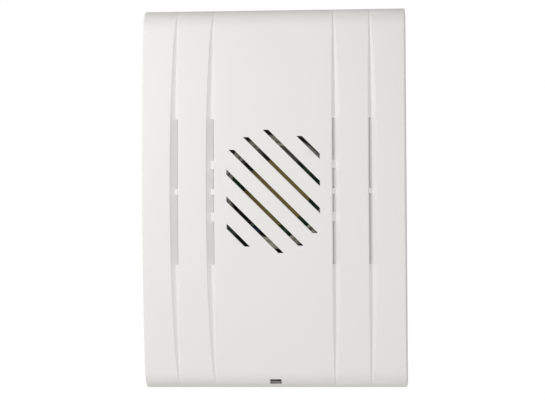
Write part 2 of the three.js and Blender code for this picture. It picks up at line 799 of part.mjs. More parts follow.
function blueLead() {
  return barAlong([
    aroundSounder(leadTuck, 231, leadOut),
    aroundSounder(leadTuck, 237, leadOut + 0.7),
    aroundSounder(leadTuck - 0.5, 245, leadOut + 1.3),
    aroundSounder(PIEZO_RADIUS + 1.2, 252, leadOut + 1.8),
    aroundSounder(PIEZO_RADIUS - LEAD_DISC_OVERLAP, 257, leadOut + 2),
  ], LEAD_RADIUS, 16);
}

// ---- circuit board and what stands on it ----

function circuitBoard() {
  const board = block(-boardAcross, boardAcross, boardBottom, boardTop, BOARD_BACK, boardFront);
  const screwHoles = boardPosts().map(([across, up]) => (
    post(across, up, SCREW_RADIUS + BOARD_HOLE_PLAY, 0, CASE_DEPTH, SMALL_SIDES)
  ));
  const legHoles = collarLegPlaces().map(({ x, y }) => (
    post(x, y, COLLAR_LEG + BOARD_HOLE_PLAY, 0, CASE_DEPTH, SMALL_SIDES)
  ));
  return cutBy(board, [...screwHoles, ...legHoles]);
}

function boardScrew([across, up]) {
  const headBack = boardFront + SCREW_HEAD_GAP;
  const headFront = headBack + SCREW_HEAD_HEIGHT;
  const crossFloor = headFront - SCREW_CROSS_DEPTH;
  const head = post(across, up, SCREW_HEAD_RADIUS, headBack, headFront);
  const shank = post(across, up, SCREW_RADIUS, PLATE + 2 * OVERCUT, (headBack + headFront) / 2, PIN_SIDES);
  const cross = joined([
    centredBlock(across, up, SCREW_CROSS_LENGTH, SCREW_CROSS_WIDTH, crossFloor, headFront + OVERCUT),
    centredBlock(across, up, SCREW_CROSS_WIDTH, SCREW_CROSS_LENGTH, crossFloor, headFront + OVERCUT),
  ]);
  return joined([head, shank]).subtract(cross);
}

function wayAcross(way) {
  return (way - (WAYS - 1) / 2) * WAY_PITCH;
}

function terminalBlock() {
  const half = WAYS * WAY_PITCH / 2;
  const front = seat + TERMINAL_HIGH;
  const top = terminalBottom + TERMINAL_DEEP;
  const body = carriedAcross([
    [terminalBottom, seat],
    [terminalBottom, front - TERMINAL_LOW_BEVEL.out],
    [terminalBottom + TERMINAL_LOW_BEVEL.up, front],
    [top - TERMINAL_HIGH_BEVEL.up, front],
    [top, front - TERMINAL_HIGH_BEVEL.out],
    [top, seat],
  ], -half, half);
  const cutters = [];
  for (let way = 0; way < WAYS; way += 1) {
    const across = wayAcross(way);
    const wellUp = terminalBottom + WELL_UP;
    cutters.push(
      block(
        across - MOUTH_WIDTH / 2,
        across + MOUTH_WIDTH / 2,
        terminalBottom - OVERCUT,
        terminalBottom + MOUTH_DEPTH,
        mouthBack,
        mouthFront,
      ),
      post(across, wellUp, WELL_RADIUS, wellBack, front + OVERCUT, SMALL_SIDES),
      post(across, wellUp, THROAT_RADIUS, mouthFront - CLEARANCE, wellBack + CLEARANCE, PIN_SIDES),
    );
  }
  return cutBy(body, cutters);
}

function terminalScrew(way) {
  const across = wayAcross(way);
  const up = terminalBottom + WELL_UP;
  const headBack = wellBack + CLEARANCE;
  const headFront = headBack + TERMINAL_SCREW_HEIGHT;
  const middle = (headBack + headFront) / 2;
  const slotLength = 2 * (TERMINAL_SCREW_RADIUS + OVERCUT);
  const slotFloor = headFront - TERMINAL_SLOT_DEPTH;
  const head = post(across, up, TERMINAL_SCREW_RADIUS, headBack, headFront, SMALL_SIDES);
  const shank = post(across, up, TERMINAL_SHANK_RADIUS, mouthFront, middle, PIN_SIDES);
  const slot = centredBlock(across, up, slotLength, TERMINAL_SLOT_WIDTH, slotFloor, headFront + OVERCUT);
  return joined([head, shank]).subtract(slot);
}

function terminalClamp(way) {
  const left = wayAcross(way) - CLAMP_WIDTH / 2;
  const right = left + CLAMP_WIDTH;
  const bottom = terminalBottom + CLAMP_INSET;
  const top = bottom + CLAMP_LENGTH;
  const back = mouthBack + CLEARANCE;
  const front = mouthFront - CLAMP_TOP_GAP;
  const cage = block(left, right, bottom, top, back, front);
  return cage.subtract(block(
    left + CLAMP_WALL,
    right - CLAMP_WALL,
    bottom - OVERCUT,
    top + OVERCUT,
    back + CLAMP_WALL,
    front - CLAMP_CROWN,
  ));
}

function tamperSwitchBody() {
  const front = seat + TAMPER_HIGH;
  const body = centredBlock(TAMPER_ACROSS, TAMPER_UP, TAMPER_WIDTH, TAMPER_LENGTH, seat, front);
  const collar = centredBlock(
    TAMPER_ACROSS,
    TAMPER_UP,
    TAMPER_COLLAR_WIDTH,
    TAMPER_COLLAR_LENGTH,
    seat + TAMPER_HIGH / 2,
    front + TAMPER_COLLAR_RISE,
  );
  const pocket = centredBlock(
    TAMPER_ACROSS,
    TAMPER_UP,
    PLUNGER_WIDTH + PLUNGER_PLAY,
    PLUNGER_THICKNESS + PLUNGER_PLAY,
    front - PLUNGER_DEEP - CLEARANCE,
    CASE_DEPTH,
  );
  return joined([body, collar]).subtract(pocket);
}

function tamperPlunger() {
  const front = seat + TAMPER_HIGH + PLUNGER_PROUD;
  const back = seat + TAMPER_HIGH - PLUNGER_DEEP;
  return centredBlock(TAMPER_ACROSS, TAMPER_UP, PLUNGER_WIDTH, PLUNGER_THICKNESS, back, front);
}

// A block centred on the transformer
function transformerBlock(width, height, back, front) {
  return centredBlock(transformerAcross, transformerUp, width, height, back, front);
}

function transformerCore() {
  const windows = [-1, 1].map((side) => centredBlock(
    transformerAcross + side * (CORE_LEG + CORE_WINDOW) / 2,
    transformerUp,
    CORE_WINDOW,
    CORE_WINDOW_HEIGHT,
    coreBack - OVERCUT,
    coreFront + OVERCUT,
  ));
  return cutBy(transformerBlock(CORE_WIDTH, CORE_HEIGHT, coreBack, coreFront), windows);
}

function transformerBobbin() {
  const flangeWidth = CORE_LEG + 2 * CORE_WINDOW - 2 * CLEARANCE;
  const flangeShift = (bobbinLength - BOBBIN_FLANGE) / 2;
  const wall = BOBBIN_TUBE_WALL;
  const tube = transformerBlock(CORE_LEG + 2 * wall, bobbinLength, coreBack - wall, coreFront + wall);
  const flanges = [-1, 1].map((side) => centredBlock(
    transformerAcross,
    transformerUp + side * flangeShift,
    flangeWidth,
    BOBBIN_FLANGE,
    seat,
    coreFront + BOBBIN_FLANGE_PROUD,
  ));
  const hole = transformerBlock(
    CORE_LEG + 2 * CLEARANCE,
    bobbinLength + OVERCUT,
    coreBack - CLEARANCE,
    coreFront + CLEARANCE,
  );
  return joined([tube, ...flanges]).subtract(hole);
}

function transformerWinding() {
  const length = bobbinLength - 2 * BOBBIN_FLANGE - 2 * CLEARANCE;
  const width = CORE_LEG + 2 * CORE_WINDOW - 4 * CLEARANCE;
  const wall = BOBBIN_TUBE_WALL;
  const build = wall + WINDING_BUILD;
  const hole = transformerBlock(
    CORE_LEG + 2 * wall + 2 * CLEARANCE,
    length + OVERCUT,
    coreBack - wall - CLEARANCE,
    coreFront + wall + CLEARANCE,
  );
  return transformerBlock(width, length, coreBack - build, coreFront + build).subtract(hole);
}

function capacitor({ fromSide, fromEdge, radius, height }) {
  const top = seat + height;
  return turned([
    [0, seat],
    [radius - CAN_LIP, seat],
    [radius, seat + CAN_LIP],
    [radius, seat + CAN_GROOVE.from],
    [radius - CAN_GROOVE.depth, seat + CAN_GROOVE.middle],
    [radius, seat + CAN_GROOVE.to],
    [radius, top - CAN_LIP],
    [radius - CAN_LIP, top],
    [0, top],
  ], -boardAcross + fromSide, boardBottom + fromEdge, BAR_SIDES);
}

function driveTransistor() {
  const across = boardAcross - TRANSISTOR.fromSide;
  const up = boardBottom + TRANSISTOR.fromEdge;
  const { width, thickness, bottom, top } = TRANSISTOR;
  const body = centredBlock(across, up, width, thickness, seat + bottom, seat + top);
  const legs = [-1, 0, 1].map((leg) => centredBlock(
    across + leg * TRANSISTOR_LEG.pitch,
    up,
    TRANSISTOR_LEG.width,
    TRANSISTOR_LEG.thickness,
    seat,
    seat + TRANSISTOR_LEG.height,
  ));
  return joined([body, ...legs]);
}

function toneChip() {
  const up = boardBottom + CHIP.fromEdge;
  const { count, width, shoulder, thickness, reach, bend } = CHIP_LEG;
  const body = centredBlock(CHIP.across, up, CHIP.width, CHIP.length, seat + CHIP.bottom, seat + CHIP.top);
  const legs = [];
  for (let pin = 0; pin < count; pin += 1) {
    const across = CHIP.across + (pin - (count - 1) / 2) * SOLDER_PITCH;
    legs.push(centredBlock(across, up, shoulder, 2 * reach, seat + bend - thickness, seat + bend));
    for (const side of [-1, 1]) {
      const legUp = up + side * (reach - thickness / 2);
      legs.push(centredBlock(across, legUp, width, thickness, seat, seat + bend));
    }
  }
  return joined([body, ...legs]);
}

// A part with a barrel between two bent wires, lying up and down the board
function axialPart(across, up, { radius, length }) {
  const out = seat + radius;
  const barrel = new THREE.CylinderGeometry(radius, radius, length, SMALL_SIDES);
  barrel.translate(across, up, out);
  const straight = new THREE.CylinderGeometry(AXIAL_WIRE, AXIAL_WIRE, AXIAL_SPAN, WIRE_SIDES);
  straight.translate(across, up, out);
  const footShift = AXIAL_SPAN / 2 - AXIAL_WIRE;
  const feet = [-1, 1].map((side) => post(across, up + side * footShift, AXIAL_WIRE, seat, out, WIRE_SIDES));
  return joined([solidOf(barrel), solidOf(straight), ...feet]);
}

function jumperHeader() {
  const pins = [];
  for (const column of [-1, 0, 1]) {
    for (const row of [-0.5, 0.5]) {
      const across = headerAcross + column * SOLDER_PITCH;
      const up = headerUp + row * SOLDER_PITCH;
      const root = seat + HEADER_BASE / 2;
      pins.push(centredBlock(across, up, HEADER_PIN, HEADER_PIN, root, seat + HEADER_PIN_TOP));
    }
  }
  const width = 3 * SOLDER_PITCH;
  const height = 2 * SOLDER_PITCH;
  return joined([centredBlock(headerAcross, headerUp, width, height, seat, seat + HEADER_BASE), ...pins]);
}

function jumperCap(column) {
  const across = headerAcross + column * SOLDER_PITCH;
  const back = seat + HEADER_BASE + CLEARANCE;
  const socketFront = seat + HEADER_PIN_TOP + CLEARANCE;
  const width = SOLDER_PITCH - CAP_PLAY;
  const height = 2 * SOLDER_PITCH - CAP_PLAY;
  const cap = centredBlock(across, headerUp, width, height, back, back + CAP_HEIGHT);
  const socketHeight = SOLDER_PITCH + CAP_SOCKET;
  return cap.subtract(centredBlock(across, headerUp, CAP_SOCKET, socketHeight, back - OVERCUT, socketFront));
}

// ---- assembly ----

function finish(colour, roughness, metalness = 0) {
  return new THREE.MeshStandardMaterial({ color: colour, roughness, metalness });
}

const standing = new THREE.Group();
standing.name = 'alarm_siren';
standing.rotation.x = Math.PI / 2;

function add(name, solid, material) {
  const mesh = new THREE.Mesh(meshGeometry(solid), material);
  mesh.name = name;
  standing.add(mesh);
}

add('front_cover', frontCover(), finish(0xecebe8, 0.5));
add('back_housing', backHousing(), finish(0xe6e4de, 0.55));
add('release_latch', releaseLatch(), finish(0xe2e0d8, 0.5));
add('acoustic_collar', acousticCollar(), finish(0xe8e2d4, 0.5));
add('piezo_support', piezoSupport(), finish(0xd8d4c8, 0.6));
add('piezo_brass_disc', piezoBrass(), finish(0xb59a4a, 0.35, 0.9));
add('piezo_ceramic_disc', piezoCeramic(), finish(0xd9d6cc, 0.4, 0.6));
add('piezo_lead_black', blackLead(), finish(0x151515, 0.5));
add('piezo_lead_blue', blueLead(), finish(0x20305c, 0.5));
add('circuit_board', circuitBoard(), finish(0x1f4a2a, 0.35));
boardPosts().forEach((place, i) => {
  add(`board_screw_${i + 1}`, boardScrew(place), finish(0xb8b8b4, 0.35, 0.9));
});
add('terminal_block', terminalBlock(), finish(0x2f7d4a, 0.5));
for (let way = 0; way < WAYS; way += 1) {
  add(`terminal_screw_${way + 1}`, terminalScrew(way), finish(0xc4c2b8, 0.35, 0.9));
  add(`terminal_clamp_${way + 1}`, terminalClamp(way), finish(0xc8c0a0, 0.35, 0.9));
}

add('tamper_switch_body', tamperSwitchBody(), finish(0x1c1c1e, 0.5));
add('tamper_plunger', tamperPlunger(), finish(0xb5281e, 0.45));
add('transformer_core', transformerCore(), finish(0x2a2a2c, 0.6));
add('transformer_bobbin', transformerBobbin(), finish(0x24221f, 0.5));
add('transformer_winding', transformerWinding(), finish(0xc9a23a, 0.5));
add('drive_transistor', driveTransistor(), finish(0x1a1a1a, 0.45));
add('capacitor_large', capacitor(CAN_LARGE), finish(0x20284a, 0.35));
add('capacitor_small', capacitor(CAN_SMALL), finish(0x20284a, 0.35));
add('tone_chip', toneChip(), finish(0x18181a, 0.5));

const resistorPlaces = [
  ...MIDDLE_RESISTORS.across.map((across) => [across, boardBottom + MIDDLE_RESISTORS.fromEdge]),
  ...SIDE_RESISTORS.fromSide.map((inset) => [boardAcross - inset, boardBottom + SIDE_RESISTORS.fromEdge]),
];
resistorPlaces.forEach(([across, up], i) => {
  add(`resistor_${i + 1}`, axialPart(across, up, RESISTOR), finish(0xc9b48a, 0.55));
});
DIODES.fromSide.forEach((inset, i) => {
  const diode = axialPart(-boardAcross + inset, boardTop - DIODES.fromTop, DIODE);
  add(`diode_${i + 1}`, diode, finish(0x1b1b1d, 0.45));
});

add('tone_jumper_header', jumperHeader(), finish(0x17171a, 0.5));
add('tone_jumper_1', jumperCap(-1), finish(0x1a3a86, 0.45));
add('tone_jumper_2', jumperCap(1), finish(0x1a3a86, 0.45));

export default standing;
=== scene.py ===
"""The looks of a wall-mounted indoor alarm siren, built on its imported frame.

World axes: +X to the right seen from the front, -Y out of the wall, +Z up. Shapes are drawn as
across, up and out of the wall, and `place` turns those into a world place. Lengths are metres.
"""
import logging
import math
from dataclasses import dataclass, field
from enum import Enum
from typing import Callable, Iterable, Mapping, Optional, Sequence, Union

import bmesh
import bpy
from mathutils import Matrix, Vector


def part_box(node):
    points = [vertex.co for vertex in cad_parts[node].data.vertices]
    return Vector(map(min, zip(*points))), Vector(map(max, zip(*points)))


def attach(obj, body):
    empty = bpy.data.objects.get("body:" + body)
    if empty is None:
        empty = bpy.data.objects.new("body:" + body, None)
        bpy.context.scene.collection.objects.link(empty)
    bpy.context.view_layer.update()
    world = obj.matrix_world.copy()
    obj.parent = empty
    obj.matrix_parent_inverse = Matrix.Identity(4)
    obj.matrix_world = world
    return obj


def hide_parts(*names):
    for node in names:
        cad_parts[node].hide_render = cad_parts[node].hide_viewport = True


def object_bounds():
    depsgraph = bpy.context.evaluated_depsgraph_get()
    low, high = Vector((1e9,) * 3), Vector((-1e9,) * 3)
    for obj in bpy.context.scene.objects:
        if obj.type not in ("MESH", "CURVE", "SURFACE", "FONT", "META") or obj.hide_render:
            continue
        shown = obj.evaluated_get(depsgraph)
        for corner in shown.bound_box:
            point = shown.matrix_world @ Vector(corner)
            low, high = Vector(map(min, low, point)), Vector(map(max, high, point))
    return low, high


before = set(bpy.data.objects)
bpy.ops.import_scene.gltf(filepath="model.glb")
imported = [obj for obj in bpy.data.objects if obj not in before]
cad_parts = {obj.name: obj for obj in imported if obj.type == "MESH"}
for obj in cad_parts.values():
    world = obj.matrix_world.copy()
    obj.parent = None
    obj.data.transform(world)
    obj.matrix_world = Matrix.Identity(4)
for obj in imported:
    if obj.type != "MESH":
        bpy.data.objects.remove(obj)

LOG = logging.getLogger("siren")
MM = 0.001
SHARP = 32.0
CAD_BOX = [list(corner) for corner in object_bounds()]

Colour = tuple[float, float, float]
Point = tuple[float, float]


class Body(str, Enum):
    """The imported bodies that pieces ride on."""

    HOUSING = "housing"
    COVER = "cover"
    LATCH = "latch"
    PLUNGER = "plunger"


class Slot(str, Enum):
    """The record's material slots."""

    COVER = "cover_plastic"
    HOUSING = "housing_plastic"
    LATCH = "latch_plastic"
    COLLAR = "collar_plastic"
    SUPPORT = "support_plastic"
    BRASS = "brass"
    CERAMIC = "ceramic_electrode"
    LEAD_BLACK = "lead_black"
    LEAD_BLUE = "lead_blue"
    BOARD = "board"
    STEEL = "zinc_steel"
    TERMINAL = "terminal_plastic"
    TINNED = "tinned_brass"
    BLACK = "black_plastic"
    PLUNGER = "plunger_plastic"
    FERRITE = "ferrite"
    WINDING = "winding"
    COMPONENT = "component_black"
    SLEEVE = "capacitor_sleeve"
    RESISTOR = "resistor_body"
    JUMPER = "jumper_plastic"


# ---- nodes ----


class Signal:
    """A node socket that can be used in sums; each operation adds one Math node."""

    def __init__(self, bench: "Bench", socket: bpy.types.NodeSocket) -> None:
        """Wraps an output socket of a bench's tree."""
        self.bench = bench
        self.socket = socket

    def _math(self, operation: str, first: "Operand", second: "Operand") -> "Signal":
        """Adds a Math node on two operands."""
        made = self.bench.node("ShaderNodeMath", {"operation": operation}, {0: first, 1: second})
        return Signal(self.bench, made.outputs[0])

    def __add__(self, other: "Operand") -> "Signal":
        """self + other."""
        return self._math("ADD", self, other)

    def __radd__(self, other: "Operand") -> "Signal":
        """other + self."""
        return self._math("ADD", other, self)

    def __sub__(self, other: "Operand") -> "Signal":
        """self - other."""
        return self._math("SUBTRACT", self, other)

    def __rsub__(self, other: "Operand") -> "Signal":
        """other - self."""
        return self._math("SUBTRACT", other, self)

    def __mul__(self, other: "Operand") -> "Signal":
        """self * other."""
        return self._math("MULTIPLY", self, other)

    def __rmul__(self, other: "Operand") -> "Signal":
        """other * self."""
        return self._math("MULTIPLY", other, self)

    def __lt__(self, other: "Operand") -> "Signal":
        """1 where self is less than other, else 0."""
        return self._math("LESS_THAN", self, other)

    def __abs__(self) -> "Signal":
        """The size of self without its sign."""
        return self._math("ABSOLUTE", self, 0.0)


Operand = Union[Signal, float, int]


class Bench:
    """Adds nodes to one tree."""

    def __init__(self, tree: bpy.types.NodeTree) -> None:
        """Takes the tree that nodes are added to."""
        self.tree = tree

    def node(
        self,
        kind: str,
        settings: Optional[Mapping[str, object]] = None,
        sockets: Optional[Mapping[Union[str, int], object]] = None,
    ) -> bpy.types.Node:
        """Adds a node, sets it up and fills its sockets.

        Args:
            kind: The node's type.
            settings: Its properties, set first; "stops" fills a colour ramp.
            sockets: Values, sockets or signals for its inputs, by name or number.

        Returns:
            The new node.
        """
        made = self.tree.nodes.new(kind)
        for key, value in (settings or {}).items():
            if key == "stops":
                self._set_stops(made.color_ramp, value)
            else:
                setattr(made, key, value)
        for key, value in (sockets or {}).items():
            self.fill(made.inputs[key], value)
        return made

    def fill(self, target: bpy.types.NodeSocket, value: object) -> None:
        """Links a socket or signal to an input, or sets its value.

        Args:
            target: The input socket.
            value: A socket, a signal or a plain value.
        """
        if isinstance(value, Signal):
            self.tree.links.new(value.socket, target)
        elif isinstance(value, bpy.types.NodeSocket):
            self.tree.links.new(value, target)
        else:
            target.default_value = value

    @staticmethod
    def _set_stops(ramp: bpy.types.ColorRamp, stops: Sequence[tuple[float, Colour]]) -> None:
        """Gives a colour ramp its stops.

        Args:
            ramp: The colour ramp.
            stops: Each stop's position and colour.
        """
        while len(ramp.elements) < len(stops):
            ramp.elements.new(1.0)
        for element, (position, colour) in zip(ramp.elements, stops):
            element.position = position
            element.color = (*colour, 1.0)


class Surface(Bench):
    """A material's tree, with its shader and a few patterns on Object coordinates."""

    def __init__(self, name: str) -> None:
        """Makes a material with a Principled shader.

        Args:
            name: The material's name.
        """
        self.material = bpy.data.materials.new(name)
        self.material.use_nodes = True
        super().__init__(self.material.node_tree)
        self.shader = self.tree.nodes["Principled BSDF"]
        self.coordinates = self.node("ShaderNodeTexCoord").outputs["Object"]

    def set(self, name: str, value: object) -> None:
        """Sets or links one of the shader's sockets."""
        self.fill(self.shader.inputs[name], value)

    def stretched(self, scale: Colour) -> bpy.types.NodeSocket:
        """Object coordinates scaled along each axis."""
        mapping = self.node("ShaderNodeMapping", None, {"Vector": self.coordinates, "Scale": scale})
        return mapping.outputs["Vector"]

    def noise(self, size: float, detail: float = 2.0, scale: Optional[Colour] = None) -> Signal:
        """Noise whose features measure about `size` metres.

        Args:
            size: The width of a feature.
            detail: How many finer layers it has.
            scale: Stretches it along each axis.

        Returns:
            A signal from 0 to 1.
        """
        vector = self.stretched(scale) if scale else self.coordinates
        sockets = {"Vector": vector, "Scale": 1.0 / size, "Detail": detail}
        return Signal(self, self.node("ShaderNodeTexNoise", None, sockets).outputs[0])

    def along(self, axis: str) -> Signal:
        """One Object coordinate, by its letter."""
        split = self.node("ShaderNodeSeparateXYZ", None, {"Vector": self.coordinates})
        return Signal(self, split.outputs[axis])

    def blend(self, factor: Operand, first: object, second: object) -> bpy.types.NodeSocket:
        """A colour that runs from first to second as factor runs from 0 to 1.

        Args:
            factor: How far it has run, from 0 to 1.
            first: The colour at 0.
            second: The colour at 1.

        Returns:
            The colour's socket.
        """
        mix = self.node("ShaderNodeMix", {"data_type": "RGBA"}, {"Factor": factor})
        self.fill(mix.inputs[6], first)
        self.fill(mix.inputs[7], second)
        return mix.outputs[2]

    def bump(self, height: Signal, strength: float, distance: float) -> None:
        """Raises the surface by a signal.

        Args:
            height: The relief, from 0 to 1.
            strength: How much of it shows.
            distance: How high 1 stands, in metres.
        """
        sockets = {"Height": height, "Strength": strength, "Distance": distance}
        self.set("Normal", self.node("ShaderNodeBump", None, sockets).outputs["Normal"])

    def mottled(self, cloud: Signal, colour: Colour, dark: float, light: float) -> bpy.types.NodeSocket:
        """A colour that runs from darker to lighter with a signal."""
        return self.blend(cloud, shade(colour, dark), shade(colour, light))

    def finish(
        self, tone: object, texture: Signal, swing: float, roughness: float, relief: float, depth: float
    ) -> bpy.types.Material:
        """Sets the colour, and the roughness and relief that one texture gives.

        Args:
            tone: The colour.
            texture: The texture, from 0 to 1.
            swing: How far the roughness runs with it.
            roughness: The middle roughness.
            relief: How much of its relief shows.
            depth: How high 1 stands, in metres.

        Returns:
            The finished material.
        """
        self.set("Base Color", tone)
        self.set("Roughness", texture * swing + (roughness - swing / 2))
        self.bump(texture, relief, depth)
        return self.material


def shade(colour: Colour, factor: float) -> tuple[float, float, float, float]:
    """A colour made lighter or darker, as a socket value."""
    red, green, blue = (min(max(part * factor, 0.0), 1.0) for part in colour)
    return (red, green, blue, 1.0)


# ---- finishes ----


@dataclass(frozen=True)
class MouldedPlastic:
    """A moulded plastic with a fine tool texture and slight flow marks."""

    name: str
    colour: Colour
    roughness: float = 0.48
    grain: float = 0.22 * MM
    grain_depth: float = 0.012 * MM
    mottle: float = 0.02
    gloss: float = 0.45
    flow: float = 26 * MM
    flow_shape: Colour = (1.0, 1.0, 0.45)
    swing: float = 0.08
    relief: float = 0.35

    def material(self) -> bpy.types.Material:
        """Builds the material."""
        surface = Surface(self.name)
        flow = surface.noise(self.flow, 2.0, self.flow_shape)
        surface.set("Specular IOR Level", self.gloss)
        tone = surface.mottled(flow, self.colour, 1 - self.mottle, 1 + self.mottle)
        texture = surface.noise(self.grain, 3.0)
        return surface.finish(tone, texture, self.swing, self.roughness, self.relief, self.grain_depth)


@dataclass(frozen=True)
class RolledMetal:
    """Sheet or turned metal with fine rolling lines and a dulled skin."""

    name: str
    colour: Colour
    dull: Colour
    roughness: float = 0.35
    line: float = 0.12 * MM
    line_depth: float = 0.006 * MM
    direction: Colour = (0.06, 1.0, 1.0)
    patch: float = 3.2 * MM
    patch_share: float = 0.7
    patch_swing: float = 0.18
    line_swing: float = 0.1

    def material(self) -> bpy.types.Material:
        """Builds the material."""
        surface = Surface(self.name)
        lines = surface.noise(self.line, 2.0, self.direction)
        tarnish = surface.noise(self.patch, 4.0)
        cover = tarnish * self.patch_share + lines * (1 - self.patch_share)
        surface.set("Base Color", surface.blend(cover, shade(self.dull, 1.0), shade(self.colour, 1.0)))
        surface.set("Metallic", 1.0)
        base = self.roughness - (self.patch_swing + self.line_swing) / 2
        surface.set("Roughness", tarnish * self.patch_swing + lines * self.line_swing + base)
        surface.bump(lines, 0.3, self.line_depth)
        return surface.material


@dataclass(frozen=True)
class SolderResist:
    """Tinted lacquer over a glass weave."""

    name: str
    colour: Colour
    weave: float = 0.55 * MM
    threads: float = 0.32
    wander: float = 0.4
    roughness: float = 0.28
    swing: float = 0.1
    depth: float = 0.01 * MM

    def material(self) -> bpy.types.Material:
        """Builds the material."""
        surface = Surface(self.name)
        cloud = surface.noise(5 * MM, 3.0)
        surface.set("Base Color", surface.mottled(cloud, self.colour, 0.82, 1.16))
        surface.set("Roughness", cloud * self.swing + (self.roughness - self.swing / 2))
        scale = self.threads / self.weave
        sockets = {"Vector": surface.coordinates, "Scale": scale, "Distortion": self.wander}
        across, upward = (
            Signal(surface, surface.node("ShaderNodeTexWave", {"bands_direction": axis}, sockets).outputs[1])
            for axis in "XZ"
        )
        surface.bump(across * upward, 0.25, self.depth)
        return surface.material


@dataclass(frozen=True)
class Sintered:
    """Dull sintered ferrite with a speckled, slightly pitted skin."""

    name: str
    colour: Colour
    speck: float = 0.18 * MM
    roughness: float = 0.65
    pit: float = 0.03 * MM

    def material(self) -> bpy.types.Material:
        """Builds the material."""
        surface = Surface(self.name)
        specks = surface.noise(self.speck, 4.0)
        tone = surface.mottled(specks, self.colour, 0.6, 1.7)
        return surface.finish(tone, specks, 0.2, self.roughness, 0.6, self.pit)


@dataclass(frozen=True)
class Sleeve:
    """A shrunk sleeve with a paler stripe down one side of the can."""

    name: str
    colour: Colour
    stripe: Colour
    edge: float
    roughness: float = 0.29
    ripple: float = 0.02 * MM

    def material(self) -> bpy.types.Material:
        """Builds the material; the stripe lies left of `edge`."""
        surface = Surface(self.name)
        marked = surface.along("X") < self.edge
        cloud = surface.noise(2.5 * MM, 2.0)
        sleeve = surface.mottled(cloud, self.colour, 0.85, 1.2)
        tone = surface.blend(marked, sleeve, shade(self.stripe, 1.0))
        return surface.finish(tone, cloud, 0.1, self.roughness, 0.2, self.ripple)


@dataclass(frozen=True)
class BandedLacquer:
    """A lacquered barrel with colour bands round it."""

    name: str
    colour: Colour
    bands: tuple[tuple[float, Colour], ...]
    width: float = 0.62 * MM
    roughness: float = 0.34
    ripple: float = 0.01 * MM

    def material(self) -> bpy.types.Material:
        """Builds the material; each band is a height up the wall and a colour."""
        surface = Surface(self.name)
        height = surface.along("Z")
        cloud = surface.noise(0.9 * MM, 2.0)
        tone = surface.mottled(cloud, self.colour, 0.9, 1.1)
        for level, colour in self.bands:
            tone = surface.blend(abs(height - level) < self.width / 2, tone, shade(colour, 1.0))
        return surface.finish(tone, cloud, 0.08, self.roughness, 0.15, self.ripple)


@dataclass(frozen=True)
class Enamelled:
    """Enamelled wire or film tape: glossy, tinted and slightly uneven."""

    name: str
    colour: Colour
    roughness: float = 0.305
    metallic: float = 0.0
    ripple: float = 0.02 * MM

    def material(self) -> bpy.types.Material:
        """Builds the material."""
        surface = Surface(self.name)
        cloud = surface.noise(1.4 * MM, 3.0, (1.0, 1.0, 3.0))
        surface.set("Metallic", self.metallic)
        tone = surface.mottled(cloud, self.colour, 0.8, 1.15)
        return surface.finish(tone, cloud, 0.15, self.roughness, 0.25, self.ripple)


class Palette:
    """Every finish of the siren, each built once."""

    def __init__(self) -> None:
        """Builds the materials."""
        plastic = MouldedPlastic
        self.cover = plastic("cover_plastic", (0.83, 0.815, 0.79), 0.5, mottle=0.012).material()
        self.housing = plastic("housing_plastic", (0.77, 0.745, 0.66), 0.52).material()
        self.latch = plastic("latch_plastic", (0.76, 0.74, 0.67), 0.5).material()
        self.collar = plastic("collar_plastic", (0.80, 0.755, 0.64), 0.42).material()
        self.support = plastic("support_plastic", (0.62, 0.60, 0.53), 0.5).material()
        self.terminal = plastic("terminal_plastic", (0.035, 0.22, 0.09), 0.38, 0.3 * MM).material()
        self.black = plastic("black_plastic", (0.018, 0.018, 0.019), 0.42, mottle=0.2).material()
        self.plunger = plastic("plunger_plastic", (0.5, 0.035, 0.025), 0.4).material()
        self.component = plastic("component_black", (0.022, 0.022, 0.023), 0.5, mottle=0.25).material()
        self.jumper = plastic("jumper_plastic", (0.03, 0.09, 0.34), 0.4).material()
        self.lead_black = plastic("lead_black", (0.016, 0.016, 0.017), 0.4, mottle=0.2).material()
        self.lead_blue = plastic("lead_blue", (0.02, 0.04, 0.16), 0.4, mottle=0.15).material()
        self.brass = RolledMetal("brass", (0.41, 0.33, 0.125), (0.25, 0.2, 0.075), 0.55).material()
        self.ceramic = RolledMetal("ceramic_electrode", (0.74, 0.72, 0.68), (0.5, 0.48, 0.44), 0.5).material()
        self.steel = RolledMetal("zinc_steel", (0.66, 0.66, 0.64), (0.45, 0.45, 0.44), 0.32).material()
        self.tinned = RolledMetal("tinned_brass", (0.72, 0.70, 0.62), (0.5, 0.47, 0.38), 0.34).material()
        self.aluminium = RolledMetal("can_aluminium", (0.8, 0.8, 0.8), (0.6, 0.6, 0.6), 0.36).material()
        self.board = SolderResist("board", (0.03, 0.105, 0.035)).material()
        self.track = SolderResist("board_track", (0.055, 0.185, 0.06)).material()
        self.laminate = plastic("board_laminate", (0.44, 0.40, 0.22), 0.6, mottle=0.08).material()
        self.legend = plastic("board_legend", (0.78, 0.78, 0.74), 0.55).material()
        self.ferrite = Sintered("ferrite", (0.028, 0.028, 0.031)).material()
        self.wire = Enamelled("winding_wire", (0.56, 0.2, 0.06), 0.305, 0.7).material()
        self.tape = Enamelled("winding", (0.68, 0.45, 0.06), 0.285).material()


# ---- mesh drawing ----


def place(across: float, up: float, out: float) -> Vector:
    """World place of a point given across the siren, up the wall and out of it."""
    return Vector((across, -out, up))


